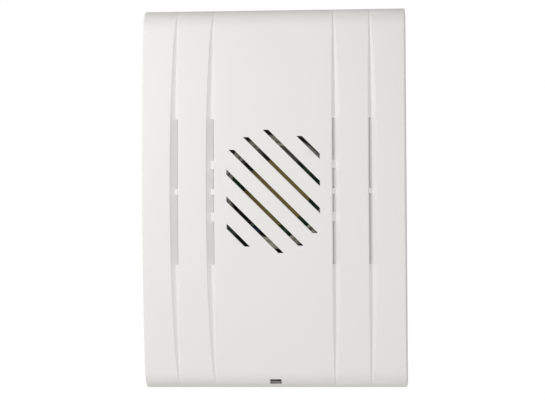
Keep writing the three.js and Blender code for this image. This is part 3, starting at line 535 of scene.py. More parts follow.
@dataclass(frozen=True)
class Extent:
    """A CAD node's box, read as across, up and out of the wall."""

    left: float
    right: float
    bottom: float
    top: float
    back: float
    front: float

    @classmethod
    def of(cls, node: str) -> "Extent":
        """Reads a node's box from the frame."""
        low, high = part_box(node)
        return cls(low[0], high[0], low[2], high[2], -high[1], -low[1])

    @property
    def across(self) -> float:
        """The middle across."""
        return (self.left + self.right) / 2

    @property
    def up(self) -> float:
        """The middle up the wall."""
        return (self.bottom + self.top) / 2

    @property
    def out(self) -> float:
        """The middle out of the wall."""
        return (self.back + self.front) / 2

    @property
    def radius(self) -> float:
        """Half the width."""
        return (self.right - self.left) / 2

    @property
    def foot(self) -> Vector:
        """Its middle, brought back to the wall."""
        return place(self.across, self.up, 0.0)


def turn_angles(sides: int) -> list[float]:
    """Evenly spaced angles round one turn."""
    return [math.tau * side / sides for side in range(sides)]


def rectangle(left: float, right: float, low: float, high: float) -> list[Point]:
    """A rectangle's corners in order, from its low left one."""
    return [(left, low), (right, low), (right, high), (left, high)]


def filleted(outline: Sequence[Point], radius: float, steps: int = 4, closed: bool = True) -> list[Point]:
    """Rounds the corners of an outline.

    Args:
        outline: Corner points in order.
        radius: The fillet's reach back along each edge, cut to fit short edges.
        steps: Segments in each corner.
        closed: Whether the outline is a loop; an open one keeps its two ends.

    Returns:
        The points with a curve in place of each corner.
    """
    count = len(outline)
    rounded: list[Point] = []
    for index, corner in enumerate(outline):
        if not closed and index in (0, count - 1):
            rounded.append(corner)
            continue
        here = Vector(corner)
        before = Vector(outline[index - 1]) - here
        after = Vector(outline[(index + 1) % count]) - here
        reach = min(radius, before.length * 0.45, after.length * 0.45)
        start = here + before.normalized() * reach
        end = here + after.normalized() * reach
        for step in range(steps + 1):
            t = step / steps
            point = start * (1 - t) ** 2 + here * (2 * t * (1 - t)) + end * t ** 2
            rounded.append((point.x, point.y))
    return rounded


class Draft:
    """A mesh being drawn, as loops joined by bands of faces."""

    def __init__(self) -> None:
        """Starts empty."""
        self.bm = bmesh.new()

    def loft(
        self, loops: Sequence[Sequence[Vector]], finishes: Sequence[int] = (), ring: bool = False
    ) -> None:
        """Joins loops of equal length into one closed skin.

        Args:
            loops: Loops of places, each with the same number of points.
            finishes: The material number of each band; 0 where none is given.
            ring: Joins the last loop to the first; otherwise both ends are capped.
        """
        rows = [[self.bm.verts.new(point) for point in loop] for loop in loops]
        pairs = list(zip(rows, rows[1:] + rows[:1])) if ring else list(zip(rows, rows[1:]))
        for number, (first, second) in enumerate(pairs):
            for i in range(len(first)):
                j = (i + 1) % len(first)
                face = self.bm.faces.new((first[i], first[j], second[j], second[i]))
                face.material_index = finishes[number] if number < len(finishes) else 0
        if not ring:
            self.bm.faces.new(rows[0]).material_index = finishes[0] if finishes else 0
            self.bm.faces.new(rows[-1]).material_index = finishes[-1] if finishes else 0

    def turned(
        self,
        profile: Sequence[Point],
        across: float,
        up: float,
        sides: int,
        finishes: Sequence[int] = (),
        ring: bool = False,
    ) -> None:
        """Turns a profile of (radius, out) points round an axis that stands out from the wall.

        Args:
            profile: The points that are turned, in order.
            across: The axis's place across.
            up: The axis's place up the wall.
            sides: Segments in one turn.
            finishes: The material number of each band.
            ring: Joins the last loop to the first.
        """
        self.loft([
            [place(across + r * math.cos(a), up + r * math.sin(a), out) for a in turn_angles(sides)]
            for r, out in profile
        ], finishes, ring)

    def upright(self, profile: Sequence[Point], across: float, out: float, sides: int) -> None:
        """Turns a profile of (radius, up) points round an axis that runs up the wall.

        Args:
            profile: The points that are turned, in order.
            across: The axis's place across.
            out: The axis's place out of the wall.
            sides: Segments in one turn.
        """
        self.loft([
            [place(across + r * math.cos(a), up, out + r * math.sin(a)) for a in turn_angles(sides)]
            for r, up in profile
        ])

    def tube(self, route: Sequence[Vector], radius: float, sides: int = 8, finish: int = 0) -> None:
        """Carries a circle along a route of places, with one material number.

        Args:
            route: The places it passes, in order.
            radius: Half its thickness.
            sides: Segments in one turn.
            finish: Its material number.
        """
        loops = []
        facing = Vector((1.0, 0.0, 0.0))
        for index, point in enumerate(route):
            ahead = route[min(index + 1, len(route) - 1)] - route[max(index - 1, 0)]
            ahead.normalize()
            facing = (facing - ahead * facing.dot(ahead)).normalized()
            aside = ahead.cross(facing)
            loops.append([
                point + (facing * math.cos(a) + aside * math.sin(a)) * radius for a in turn_angles(sides)
            ])
        self.loft(loops, [finish] * len(loops))

    def prism(self, outline: Sequence[Point], *levels: float) -> None:
        """Carries an outline of (across, up) points out of the wall through some levels."""
        self.loft([[place(across, up, out) for across, up in outline] for out in levels])

    def block(self, box: Extent, radius: float = 0.0) -> None:
        """Draws a block with its corners rounded seen from the front."""
        outline = rectangle(box.left, box.right, box.bottom, box.top)
        self.prism(filleted(outline, radius) if radius > 0 else outline, box.back, box.front)

    def done(
        self, name: str, finishes: Iterable[bpy.types.Material] = (), sharp: float = SHARP
    ) -> bpy.types.Object:
        """Ends the drawing.

        Args:
            name: The object's name.
            finishes: Its materials, in the order of the material numbers.
            sharp: Edges that turn by more than this many degrees stay crisp.

        Returns:
            The object, in the scene and at the origin.
        """
        bmesh.ops.remove_doubles(self.bm, verts=self.bm.verts, dist=0.0005 * MM)
        bmesh.ops.recalc_face_normals(self.bm, faces=self.bm.faces)
        mesh = bpy.data.meshes.new(name)
        self.bm.to_mesh(mesh)
        self.bm.free()
        return shown(name, mesh, finishes, sharp)


def linked(name: str, data: object) -> bpy.types.Object:
    """Puts data in the scene as an object at the origin.

    Args:
        name: The new piece's name.
        data: What the object shows.

    Returns:
        The new object.
    """
    made = bpy.data.objects.new(name, data)
    bpy.context.scene.collection.objects.link(made)
    return made


def crisp(mesh: bpy.types.Mesh, sharp: float = SHARP) -> None:
    """Shades a mesh smooth; edges that turn by more than `sharp` degrees stay crisp."""
    mesh.shade_smooth()
    mesh.set_sharp_from_angle(angle=math.radians(sharp))


def shown(
    name: str, mesh: bpy.types.Mesh, finishes: Iterable[bpy.types.Material] = (), sharp: float = SHARP
) -> bpy.types.Object:
    """Puts a mesh in the scene with its materials and its smooth and crisp edges.

    Args:
        name: The new piece's name.
        mesh: The mesh.
        finishes: Its materials, in order.
        sharp: Edges that turn by more than this many degrees stay crisp.

    Returns:
        The new object.
    """
    for material in finishes:
        mesh.materials.append(material)
    crisp(mesh, sharp)
    return linked(name, mesh)


def settle(piece: bpy.types.Object) -> None:
    """Turns a piece's modifiers into plain mesh.

    Args:
        piece: The piece.
    """
    graph = bpy.context.evaluated_depsgraph_get()
    mesh = bpy.data.meshes.new_from_object(piece.evaluated_get(graph), depsgraph=graph)
    piece.modifiers.clear()
    piece.data = mesh


def carve(piece: bpy.types.Object, tool: bpy.types.Object, operation: str = "DIFFERENCE") -> None:
    """Cuts a tool out of a piece, or joins it on, and removes the tool.

    Args:
        piece: The piece.
        tool: The shape that is cut out or joined on.
        operation: The Boolean operation.
    """
    modifier = piece.modifiers.new("carve", "BOOLEAN")
    modifier.operation = operation
    modifier.solver = "EXACT"
    modifier.object = tool
    settle(piece)
    bpy.data.objects.remove(tool)


def softened(
    node: str,
    name: str,
    finishes: Sequence[bpy.types.Material],
    radius: float = 0.2 * MM,
    chooser: Optional[Callable[[Vector], int]] = None,
) -> bpy.types.Object:
    """Copies a CAD node's shape and rounds its sharp edges.

    Args:
        node: The CAD node.
        name: The new piece's name.
        finishes: The piece's materials.
        radius: The width of the rounding.
        chooser: Picks a material number from a face's middle.

    Returns:
        The new piece.
    """
    bm = bmesh.new()
    bm.from_mesh(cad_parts[node].data)
    bmesh.ops.remove_doubles(bm, verts=bm.verts, dist=0.002 * MM)
    flat = math.radians(0.6)
    bmesh.ops.dissolve_limit(bm, angle_limit=flat, verts=bm.verts, edges=bm.edges)
    for face in bm.faces:
        face.material_index = chooser(face.calc_center_median()) if chooser else 0
    mesh = bpy.data.meshes.new(name)
    bm.to_mesh(mesh)
    bm.free()
    mesh.materials.clear()
    piece = shown(name, mesh, finishes)
    modifier = piece.modifiers.new("soften", "BEVEL")
    modifier.width = radius
    modifier.segments = 3
    modifier.limit_method = "ANGLE"
    modifier.angle_limit = math.radians(40)
    settle(piece)
    crisp(piece.data, 35)
    return piece


def publish(piece: bpy.types.Object, body: Body, slot: Slot, *nodes: str) -> None:
    """Hands a finished piece to the frame and logs it.

    Args:
        piece: The finished piece.
        body: The body it rides on.
        slot: Not used.
        nodes: The CAD nodes that it stands for.
    """
    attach(piece, body.value)
    if nodes:
        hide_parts(*nodes)
    LOG.info("%s: %d faces on %s", piece.name, len(piece.data.polygons), body.value)


def restyle(
    node: str,
    name: str,
    finishes: Sequence[bpy.types.Material],
    body: Body,
    slot: Slot,
    radius: float,
    chooser: Optional[Callable[[Vector], int]] = None,
) -> None:
    """Softens a CAD node's shape and hands it over; the arguments are those of both steps."""
    publish(softened(node, name, finishes, radius, chooser), body, slot, node)


# ---- geometry trees ----

FLOAT, INT = "NodeSocketFloat", "NodeSocketInt"


class Grower(Bench):
    """A Geometry Nodes tree that ends in Realize Instances and Set Material."""

    def __init__(self, name: str, inputs: Mapping[str, str]) -> None:
        """Makes the tree's interface.

        Args:
            name: The tree's name.
            inputs: Its extra inputs, by name, with each socket's type.
        """
        tree = bpy.data.node_groups.new(name, "GeometryNodeTree")
        tree.interface.new_socket("Geometry", in_out="OUTPUT", socket_type="NodeSocketGeometry")
        tree.interface.new_socket("Places", in_out="INPUT", socket_type="NodeSocketGeometry")
        for title, kind in inputs.items():
            tree.interface.new_socket(title, in_out="INPUT", socket_type=kind)
        tree.interface.new_socket("Finish", in_out="INPUT", socket_type="NodeSocketMaterial")
        super().__init__(tree)
        self.inputs = self.node("NodeGroupInput").outputs

    def signal(self, name: str) -> Signal:
        """A numeric input as a signal."""
        return Signal(self, self.inputs[name])

    def close(self, shape: bpy.types.NodeSocket) -> None:
        """Ends the tree with a shape.

        Args:
            shape: The geometry to end with.
        """
        plain = self.node("GeometryNodeRealizeInstances", None, {"Geometry": shape}).outputs[0]
        sockets = {"Geometry": plain, "Material": self.inputs["Finish"]}
        finished = self.node("GeometryNodeSetMaterial", None, sockets).outputs[0]
        self.node("NodeGroupOutput", None, {"Geometry": finished})

    def grow(self, name: str, places: bpy.types.Mesh, values: Mapping[str, object]) -> bpy.types.Object:
        """Runs the tree on a mesh.

        Args:
            name: The new piece's name.
            places: The mesh that the tree starts from.
            values: The tree's inputs, by name.

        Returns:
            The grown piece as a plain mesh.
        """
        piece = linked(name, places)
        modifier = piece.modifiers.new("grow", "NODES")
        modifier.node_group = self.tree
        for item in self.tree.interface.items_tree:
            if item.in_out == "INPUT" and item.name in values:
                modifier[item.identifier] = values[item.name]
        settle(piece)
        piece.data.name = name
        crisp(piece.data)
        return piece


class PartGrower(Grower):
    """Sets one part on every place, each turned by its own seeded angle."""

    def __init__(self) -> None:
        """Builds the tree."""
        super().__init__("parts_on_places", {"Part": "NodeSocketObject", "Turn": FLOAT, "Seed": INT})
        part = self.node("GeometryNodeObjectInfo", None, {"Object": self.inputs["Part"]})
        chance = self.node("FunctionNodeRandomValue", {"data_type": "FLOAT"}, {"Seed": self.inputs["Seed"]})
        angle = Signal(self, chance.outputs[1]) * self.signal("Turn")
        turn = self.node("ShaderNodeCombineXYZ", None, {"Y": angle})
        points = self.node("GeometryNodeMeshToPoints", None, {"Mesh": self.inputs["Places"]})
        placed = self.node("GeometryNodeInstanceOnPoints", None, {
            "Points": points.outputs[0],
            "Instance": part.outputs["Geometry"],
            "Rotation": turn.outputs[0],
        })
        self.close(placed.outputs[0])

    def set_out(
        self,
        name: str,
        part: bpy.types.Object,
        places: Sequence[Vector],
        finish: bpy.types.Material,
        turn: float = 0.0,
        seed: int = 1,
    ) -> bpy.types.Object:
        """Sets a part, drawn at the origin, on places, and removes the part.

        Args:
            name: The new piece's name.
            part: The part, drawn at the origin.
            places: Where it is set.
            finish: Its material.
            turn: The most that each is turned, in radians.
            seed: The seed of the turns.

        Returns:
            The parts as one plain piece.
        """
        points = bpy.data.meshes.new(name)
        points.from_pydata(places, [], [])
        values = {"Part": part, "Turn": turn, "Seed": seed, "Finish": finish}
        piece = self.grow(name, points, values)
        bpy.data.objects.remove(part)
        return piece


class WireGrower(Grower):
    """Carries a round or square section along routes of joined places."""

    def __init__(self) -> None:
        """Builds the tree."""
        super().__init__("wire_on_route", {
            "Radius": FLOAT, "Sides": INT, "Step": FLOAT, "Smooth": "NodeSocketBool",
        })
        route = self.node("GeometryNodeMeshToCurve", None, {"Mesh": self.inputs["Places"]}).outputs[0]
        curved = self.node("GeometryNodeCurveSplineType", {"spline_type": "CATMULL_ROM"}, {"Curve": route})
        even = self.node("GeometryNodeResampleCurve", {"mode": "LENGTH"}, {
            "Curve": curved.outputs[0],
            "Length": self.inputs["Step"],
        })
        chosen = self.node("GeometryNodeSwitch", {"input_type": "GEOMETRY"}, {
            "Switch": self.inputs["Smooth"],
            "False": route,
            "True": even.outputs[0],
        })
        section = self.node("GeometryNodeCurvePrimitiveCircle", None, {
            "Resolution": self.inputs["Sides"],
            "Radius": self.inputs["Radius"],
        })
        wire = self.node("GeometryNodeCurveToMesh", None, {
            "Curve": chosen.outputs[0],
            "Profile Curve": section.outputs[0],
            "Fill Caps": True,
        })
        self.close(wire.outputs[0])

    def draw(
        self,
        name: str,
        routes: Sequence[Sequence[Vector]],
        finish: bpy.types.Material,
        radius: float,
        smooth: bool = True,
        sides: int = 16,
    ) -> bpy.types.Object:
        """Draws wires along routes; a route that ends where it starts is a loop.

        Args:
            name: The new piece's name.
            routes: The routes, each a list of places.
            finish: Its material.
            radius: Half its thickness.
            smooth: Whether a route is curved between its places.
            sides: Segments in one turn.

        Returns:
            The wires as one plain piece.
        """
        points: list[Vector] = []
        edges: list[tuple[int, int]] = []
        for route in routes:
            first = len(points)
            looped = (route[0] - route[-1]).length < 1e-9
            kept = list(route[:-1]) if looped else list(route)
            points.extend(kept)
            edges.extend((first + i, first + i + 1) for i in range(len(kept) - 1))
            if looped:
                edges.append((first + len(kept) - 1, first))
        mesh = bpy.data.meshes.new(name)
        mesh.from_pydata(points, edges, [])
        values = {"Radius": radius, "Sides": sides, "Step": 0.5 * MM, "Smooth": smooth, "Finish": finish}
        return self.grow(name, mesh, values)


class WindingGrower(Grower):
    """Stacks turns of wire round a rectangular bobbin that stands up the wall."""

    def __init__(self) -> None:
        """Builds the tree."""
        super().__init__("stacked_turns", {
            "Width": FLOAT, "Depth": FLOAT, "Corner": FLOAT, "Height": FLOAT, "Turns": INT, "Wire": FLOAT,
        })
        turn = self.node("GeometryNodeCurvePrimitiveQuadrilateral", None, {
            "Width": self.inputs["Width"],
            "Height": self.inputs["Depth"],
        })
        eased = self.node("GeometryNodeFilletCurve", {"mode": "POLY"}, {
            "Curve": turn.outputs[0],
            "Count": 5,
            "Radius": self.inputs["Corner"],
            "Limit Radius": True,
        })
        section = self.node("GeometryNodeCurvePrimitiveCircle", None, {
            "Resolution": 8,
            "Radius": self.inputs["Wire"],
        })
        loop = self.node("GeometryNodeCurveToMesh", None, {
            "Curve": eased.outputs[0],
            "Profile Curve": section.outputs[0],
        })
        bottom, top = (
            self.node("ShaderNodeCombineXYZ", None, {"Z": self.signal("Height") * share})
            for share in (-0.5, 0.5)
        )
        line = self.node("GeometryNodeMeshLine", {"mode": "END_POINTS"}, {
            "Count": self.inputs["Turns"],
            "Start Location": bottom.outputs[0],
            "Offset": top.outputs[0],
        })
        row = self.node("GeometryNodeInstanceOnPoints", None, {
            "Points": line.outputs[0],
            "Instance": loop.outputs[0],
        })
        stacks = self.node("GeometryNodeInstanceOnPoints", None, {
            "Points": self.inputs["Places"],
            "Instance": row.outputs[0],
        })
        self.close(stacks.outputs[0])


class Growers:
    """The three trees, each built once."""

    def __init__(self) -> None:
        """Builds the trees."""
        self.parts = PartGrower()
        self.wires = WireGrower()
        self.windings = WindingGrower()


# ---- front cover ----


@dataclass(frozen=True)
class Station:
    """One step of the cover's side profile: its place, the way it faces, and if flutes reach it."""

    up: float
    out: float
    facing_up: float
    facing_out: float
    fluted: bool = True


@dataclass(frozen=True)
class Column:
    """One line of the cover's skin, running from its top to its bottom.

    `across` is its place, or the flute's line where `side` is not 0. `aside` and `proud` are its
    place in a flute's section, and `inset` its depth under the case's outer face.
    """

    across: float
    inset: float = 0.0
    side: int = 0
    aside: float = 0.0
    proud: float = 0.0


@dataclass
class Grille:
    """Sloping slots, trimmed to an oval with straight sides."""

    centre: float
    count: int = 7
    width: float = 1.4 * MM
    pitch: float = 7.12 * MM
    oval_across: float = 21 * MM
    oval_up: float = 23.1 * MM
    half_width: float = 17.4 * MM
    steps: int = 22
    mouth: tuple[Point, ...] = ((-0.14, 0.0), (-0.04, 0.02), (0.0, 0.06), (0.4, 0.7))

    def crossings(self, rise: float) -> Point:
        """Where a slot's centre line, up = rise - across, meets the oval.

        Args:
            rise: The height of the slot's centre line where across is 0.

        Returns:
            The first and the last place across.
        """
        a = self.oval_across ** 2
        b = self.oval_up ** 2
        root = math.sqrt((rise * a) ** 2 - (a + b) * a * (rise ** 2 - b))
        return (rise * a - root) / (a + b), (rise * a + root) / (a + b)

    def corners(self, number: int, grown: float) -> tuple[Point, Point, Point, Point]:
        """A slot's corners, from its low edge's top end round to its high edge's top end.

        Args:
            number: The slot, from 0 in the middle.
            grown: How far its outline is moved outwards.

        Returns:
            The four corners.
        """
        rise = number * self.pitch * math.sqrt(2)
        half = (self.width / 2 + grown) * math.sqrt(2)
        first, last = self.crossings(rise)

        def top(shift: float) -> float:
            """The top end of an edge."""
            return first + shift - grown if first > -self.half_width else -self.half_width - grown

        def low(shift: float) -> float:
            """The low end of an edge."""
            return last + shift + grown if last < self.half_width else self.half_width + grown

        ends = ((top(-half), -half), (low(-half), -half), (low(half), half), (top(half), half))
        return tuple((across, self.centre + rise + shift - across) for across, shift in ends)

    def cut(self, draft: Draft, front: Callable[[float], float], floor: float) -> None:
        """Draws the cutters.

        Args:
            draft: Where they are drawn.
            front: The cover's height out of the wall at a height up it.
            floor: How deep the cutters reach.
        """
        reach = (self.count - 1) // 2
        for number in range(-reach, reach + 1):
            loops = [self._layer(number, 0.0, lambda up: floor)]
            for depth, grown in self.mouth:
                loops.append(self._layer(number, grown * MM, lambda up, d=depth: front(up) + d * MM))
            draft.loft(loops)

    def _layer(self, number: int, grown: float, height: Callable[[float], float]) -> list[Vector]:
        """One loop of a cutter, following the front.

        Args:
            number: The slot, from 0 in the middle.
            grown: How far its outline is moved outwards.
            height: Gives the height out of the wall at a height up it.

        Returns:
            The loop's places.
        """
        low_start, low_end, high_end, high_start = (Vector(corner) for corner in self.corners(number, grown))
        steps = range(self.steps + 1)
        edge = [low_start.lerp(low_end, step / self.steps) for step in steps]
        edge += [high_end.lerp(high_start, step / self.steps) for step in steps]
        return [place(point.x, point.y, height(point.y)) for point in edge]


@dataclass
class FrontCover:
    """The arched cover: fluted sides, vents, grille, release slot, hinge beads, catch and boss."""

    palette: Palette
    wall: float = 2.2 * MM
    arch_rise: float = 6.5 * MM
    end_radius: float = 8 * MM
    corner: float = 0.55 * MM
    inner_corner: float = 0.9 * MM
    flute_lines: Point = (22.1 * MM, 35.6 * MM)
    flute_depth: float = 1.2 * MM
    flute_wall: float = 1.35 * MM
    flute_scoop: float = 2.05 * MM
    scoop_hollow: float = 0.35
    flute_bow: float = 0.36 * MM
    least_fullness: float = 0.063
    scoop_steps: int = 10
    vent_length: float = 54 * MM
    vent_lip: float = 0.1 * MM
    vent_roof: float = 0.9 * MM
    vent_floor: float = 2.9 * MM
    vent_reach: float = 3.2 * MM
    vent_step: float = 2 * MM
    vent_mouth: float = 0.1 * MM
    flute_edge: tuple[tuple[float, float, float], ...] = (
        (-0.16, 0.0, 0.0), (-0.05, -0.012, 0.1), (0.03, -0.05, 0.2), (0.1, -0.12, 0.32),
        (0.72, -0.66, 0.66), (1.24, -1.11, 0.96),
    )
    inner_slope: float = 0.15 * MM
    inner_shift: float = 0.3 * MM
    panel_lines: tuple[float, ...] = (0.0, 5.5 * MM, 11 * MM, 16.5 * MM)
    bridges: tuple[tuple[Point, ...], ...] = (((10, 3.2), (0, 2.2), (-9.4, 3.5)), ((0, 2.0),))
    grille_centre: float = 2.5 * MM
    release_width: float = 4.3 * MM
    release_height: float = 1.75 * MM
    release_depth: float = 4.4 * MM
    release_angle: float = 43.5
    release_corner: float = 0.35 * MM
    release_mouth: tuple[Point, ...] = ((-0.16, 0.0), (-0.04, 0.02), (0.02, 0.06), (0.5, 0.3))
    bead_radius: float = 1.9 * MM
    bead_length: float = 12 * MM
    bead_across: float = 30 * MM
    bead_inset: float = 0.1 * MM
    catch_size: tuple[float, float, float] = (7.1 * MM, 1.3 * MM, 1.5 * MM)
    catch_out: float = 14.4 * MM
    boss_radius: float = 2.5 * MM
    boss_gap: float = 0.3 * MM
    bead_ease: float = 0.35 * MM
    fitting_ease: float = 0.3 * MM
    round_sides: int = 40
    case: Extent = field(init=False)

    def __post_init__(self) -> None:
        """Works out the arch from the case's size."""
        self.case = Extent.of("front_cover")
        half = self.case.top
        self.arch_radius = (half ** 2 + self.arch_rise ** 2) / (2 * self.arch_rise)
        self.arch_out = self.case.front - self.arch_radius
        self.end_up = half - self.end_radius
        rounding = self.arch_radius - self.end_radius
        self.end_out = self.arch_out + math.sqrt(rounding ** 2 - self.end_up ** 2)
        self.tangent = math.asin(self.end_up / rounding)

    def front(self, up: float) -> float:
        """How far out the front stands at a height up the wall.

        Args:
            up: A height up the wall.

        Returns:
            The height out of the wall.
        """
        height = min(abs(up), self.case.top)
        if height <= self.arch_radius * math.sin(self.tangent):
            return self.arch_out + math.sqrt(self.arch_radius ** 2 - height ** 2)
        drop = self.end_radius ** 2 - (height - self.end_up) ** 2
        return self.end_out + math.sqrt(max(drop, 0.0))

    def fullness(self, up: float) -> float:
        """How full a flute is: 1 at mid height and almost nothing at the ends."""
        return math.sqrt(max(1 - (up / self.case.top) ** 2, self.least_fullness ** 2))

    def stations(self) -> list[Station]:
        """The side profile from the top's rear edge over the front to the bottom's rear edge."""
        end_steps, arch_steps, wall_steps = 14, 72, 4
        half = []
        for step in range(wall_steps):
            out = self.case.back + (self.end_out - self.case.back) * step / wall_steps
            half.append(Station(self.case.top, out, 1.0, 0.0, False))
        for step in range(end_steps):
            angle = math.pi / 2 - (math.pi / 2 - self.tangent) * step / end_steps
            up = self.end_up + self.end_radius * math.sin(angle)
            out = self.end_out + self.end_radius * math.cos(angle)
            half.append(Station(up, out, math.sin(angle), math.cos(angle)))
        for step in range(arch_steps // 2):
            angle = self.tangent * (1 - 2 * step / arch_steps)
            up = self.arch_radius * math.sin(angle)
            out = self.arch_out + self.arch_radius * math.cos(angle)
            half.append(Station(up, out, math.sin(angle), math.cos(angle)))
        middle = Station(0.0, self.case.front, 0.0, 1.0)
        mirrored = [Station(-s.up, s.out, -s.facing_up, s.facing_out, s.fluted) for s in reversed(half)]
        return half + [middle] + mirrored

    def sections(self) -> tuple[list[Point], list[Point]]:
        """A flute's section in the outer and the inner skin, from its edge to its shoulder."""
        outer = [(aside * MM, proud * MM) for aside, proud, _ in self.flute_edge]
        slope = self.wall + self.inner_slope
        inner = [(-self.wall + slope * share, -self.flute_depth * share) for _, _, share in self.flute_edge]
        for step in range(self.scoop_steps + 1):
            share = step / self.scoop_steps
            proud = -self.flute_depth * (1 - share) * (1 + self.scoop_hollow * share)
            outer.append((self.flute_wall + self.flute_scoop * share, proud))
            inner.append((self.flute_wall + self.inner_shift + self.flute_scoop * share, proud))
        return outer, inner

    def columns(self, inner: bool) -> list[Column]:
        """The skin's lines from its left side to its right side.

        Args:
            inner: Whether the skin is the one inside the case.

        Returns:
            The lines, in order.
        """
        inset = self.wall if inner else 0.0
        half = self.case.right - inset
        rounding = self.inner_corner if inner else self.corner
        section = self.sections()[1 if inner else 0]
        right = [Column(across, inset) for across in self.panel_lines]
        for line in self.flute_lines:
            right += [Column(line, inset, 1, aside, proud) for aside, proud in section]
        steps = 5
        for step in range(steps + 1):
            angle = math.pi / 2 * step / steps
            across = half - rounding + rounding * math.sin(angle)
            right.append(Column(across, inset + rounding * (1 - math.cos(angle))))
        left = [
            Column(c.across if c.side else -c.across, c.inset, -c.side, c.aside, c.proud)
            for c in reversed(right[1:])
        ]
        return left + right

    def skin_place(self, column: Column, station: Station) -> Vector:
        """The place of a column at a station.

        Args:
            column: The skin's line.
            station: The step of the side profile.

        Returns:
            The place.
        """
        up = station.up - station.facing_up * column.inset
        out = station.out - station.facing_out * column.inset
        if not column.side:
            return place(column.across, up, out)
        full = self.fullness(station.up)
        aside = column.aside if column.aside < 0 else column.aside * full
        across = column.side * (column.across - self.flute_bow * full + aside)
        return place(across, up, out + (column.proud * full if station.fluted else 0.0))

    def shell(self) -> bpy.types.Object:
        """Draws both skins, the flat sides and the rear edge as one closed shell."""
        draft = Draft()
        bm = draft.bm
        stations = self.stations()
        skins = []
        for inner in (False, True):
            columns = self.columns(inner)
            rows = [
                [bm.verts.new(self.skin_place(column, station)) for column in columns] for station in stations
            ]
            for row, below in zip(rows, rows[1:]):
                for i in range(len(row) - 1):
                    bm.faces.new((row[i], row[i + 1], below[i + 1], below[i]))
            for edge in (0, -1):
                bm.faces.new([row[edge] for row in rows])
            skins.append(rows)
        outer, inner_rows = skins
        for end in (0, -1):
            for i in range(len(outer[end]) - 1):
                rim = (outer[end][i], outer[end][i + 1], inner_rows[end][i + 1], inner_rows[end][i])
                bm.faces.new(rim)
            bm.faces.new((outer[0][end], outer[-1][end], inner_rows[-1][end], inner_rows[0][end]))
        return draft.done("front_cover_shell", [self.palette.cover])

    def stretches(self, bridges: Sequence[Point]) -> list[Point]:
        """A vent's open stretches between its bridges, from the top down.

        Args:
            bridges: Each bridge's middle and width, in millimetres.

        Returns:
            Each stretch's top and bottom.
        """
        edges = [self.grille_centre + self.vent_length / 2]
        for up, width in bridges:
            edges.append(self.grille_centre + (up + width / 2) * MM)
            edges.append(self.grille_centre + (up - width / 2) * MM)
        edges.append(self.grille_centre - self.vent_length / 2)
        return list(zip(edges[::2], edges[1::2]))

    def vent(self, draft: Draft, side: int, line: float, top: float, bottom: float) -> None:
        """Draws the cutter of one open stretch of a vent.

        Args:
            draft: Where it is drawn.
            side: -1 on the left and 1 on the right.
            line: The flute's place across.
            top: Where it starts.
            bottom: Where it ends.
        """
        mouth = self.flute_wall + self.vent_mouth
        corners = [
            (-self.vent_reach, -self.vent_roof),
            (-self.vent_reach, -self.vent_floor),
            (mouth, -self.flute_depth),
            (mouth, -self.vent_lip),
        ]
        steps = math.ceil((top - bottom) / self.vent_step)
        loops = []
        for step in range(steps + 1):
            up = top + (bottom - top) * step / steps
            full = self.fullness(up)
            loop = []
            for aside, proud in corners:
                shift = aside if aside < 0 else aside * full
                across = side * (line - self.flute_bow * full + shift)
                loop.append(place(across, up, self.front(up) + proud * full))
            loops.append(loop)
        draft.loft(loops)

    def release(self, draft: Draft) -> None:
        """Draws the cutter of the release slot, with a softened mouth.

        Args:
            draft: Where it is drawn.
        """
        angle = math.radians(self.release_angle)
        middle = -self.end_up - self.end_radius * math.sin(angle)
        floor = self.end_out + self.end_radius * math.cos(angle) - self.release_depth
        loops = []
        for depth, grown in ((None, 0.0), *self.release_mouth):
            half_width = self.release_width / 2 + grown * MM
            low = middle - self.release_height / 2 - grown * MM
            high = middle + self.release_height / 2 + grown * MM
            outline = rectangle(-half_width, half_width, low, high)
            loops.append([
                place(across, up, floor if depth is None else self.front(up) + depth * MM)
                for across, up in filleted(outline, self.release_corner, 3)
            ])
        draft.loft(loops)

    def fittings(self) -> bpy.types.Object:
        """Draws what stands inside the shell: two hinge beads, the catch and the tamper boss."""
        draft = Draft()
        bead_up = self.case.top - self.bead_radius - self.bead_inset
        bead_out = self.case.back + self.bead_radius + self.bead_inset
        ease = self.bead_ease
        for side in (-1, 1):
            loops = []
            for along, radius in ((-0.5, -ease), (-0.5, 0.0), (0.5, 0.0), (0.5, -ease)):
                shift = ease if (radius == 0.0) == (along < 0) else 0.0
                across = side * self.bead_across + along * self.bead_length
                across += shift if along < 0 else shift - ease
                size = self.bead_radius + radius
                loops.append([
                    place(across, bead_up + size * math.sin(a), bead_out + size * math.cos(a))
                    for a in turn_angles(self.round_sides)
                ])
            draft.loft(loops)
        half_width, height, depth = self.catch_size
        floor = self.case.bottom + self.wall
        catch = Extent(-half_width, half_width, floor - self.wall / 2, floor + height, self.catch_out,
                       self.catch_out + depth)
        draft.block(catch, self.fitting_ease)
        plunger = Extent.of("tamper_plunger")
        tip = plunger.front + self.boss_gap
        root = self.front(plunger.up) - self.wall / 2
        profile = [(0.0, tip), (self.boss_radius, tip), (self.boss_radius, root)]
        eased = filleted(profile, self.fitting_ease, 3, closed=False) + [(0.0, root)]
        draft.turned(eased, plunger.across, plunger.up, self.round_sides)
        return draft.done("cover_fittings", [self.palette.cover])

    def build(self) -> None:
        """Builds the cover and hands it over."""
        cover = self.shell()
        cutters = Draft()
        for line, bridges in zip(self.flute_lines, self.bridges):
            for side in (-1, 1):
                for top, bottom in self.stretches(bridges):
                    self.vent(cutters, side, line, top, bottom)
        Grille(self.grille_centre).cut(cutters, self.front, Extent.of("acoustic_collar").front)
        self.release(cutters)
        carve(cover, cutters.done("cover_cutters", [self.palette.cover]))
        carve(cover, self.fittings(), "UNION")
        cover.name = "siren_front_cover"
        crisp(cover.data, 30)
        publish(cover, Body.COVER, Slot.COVER, "front_cover")


# ---- back housing, latch and switch ----


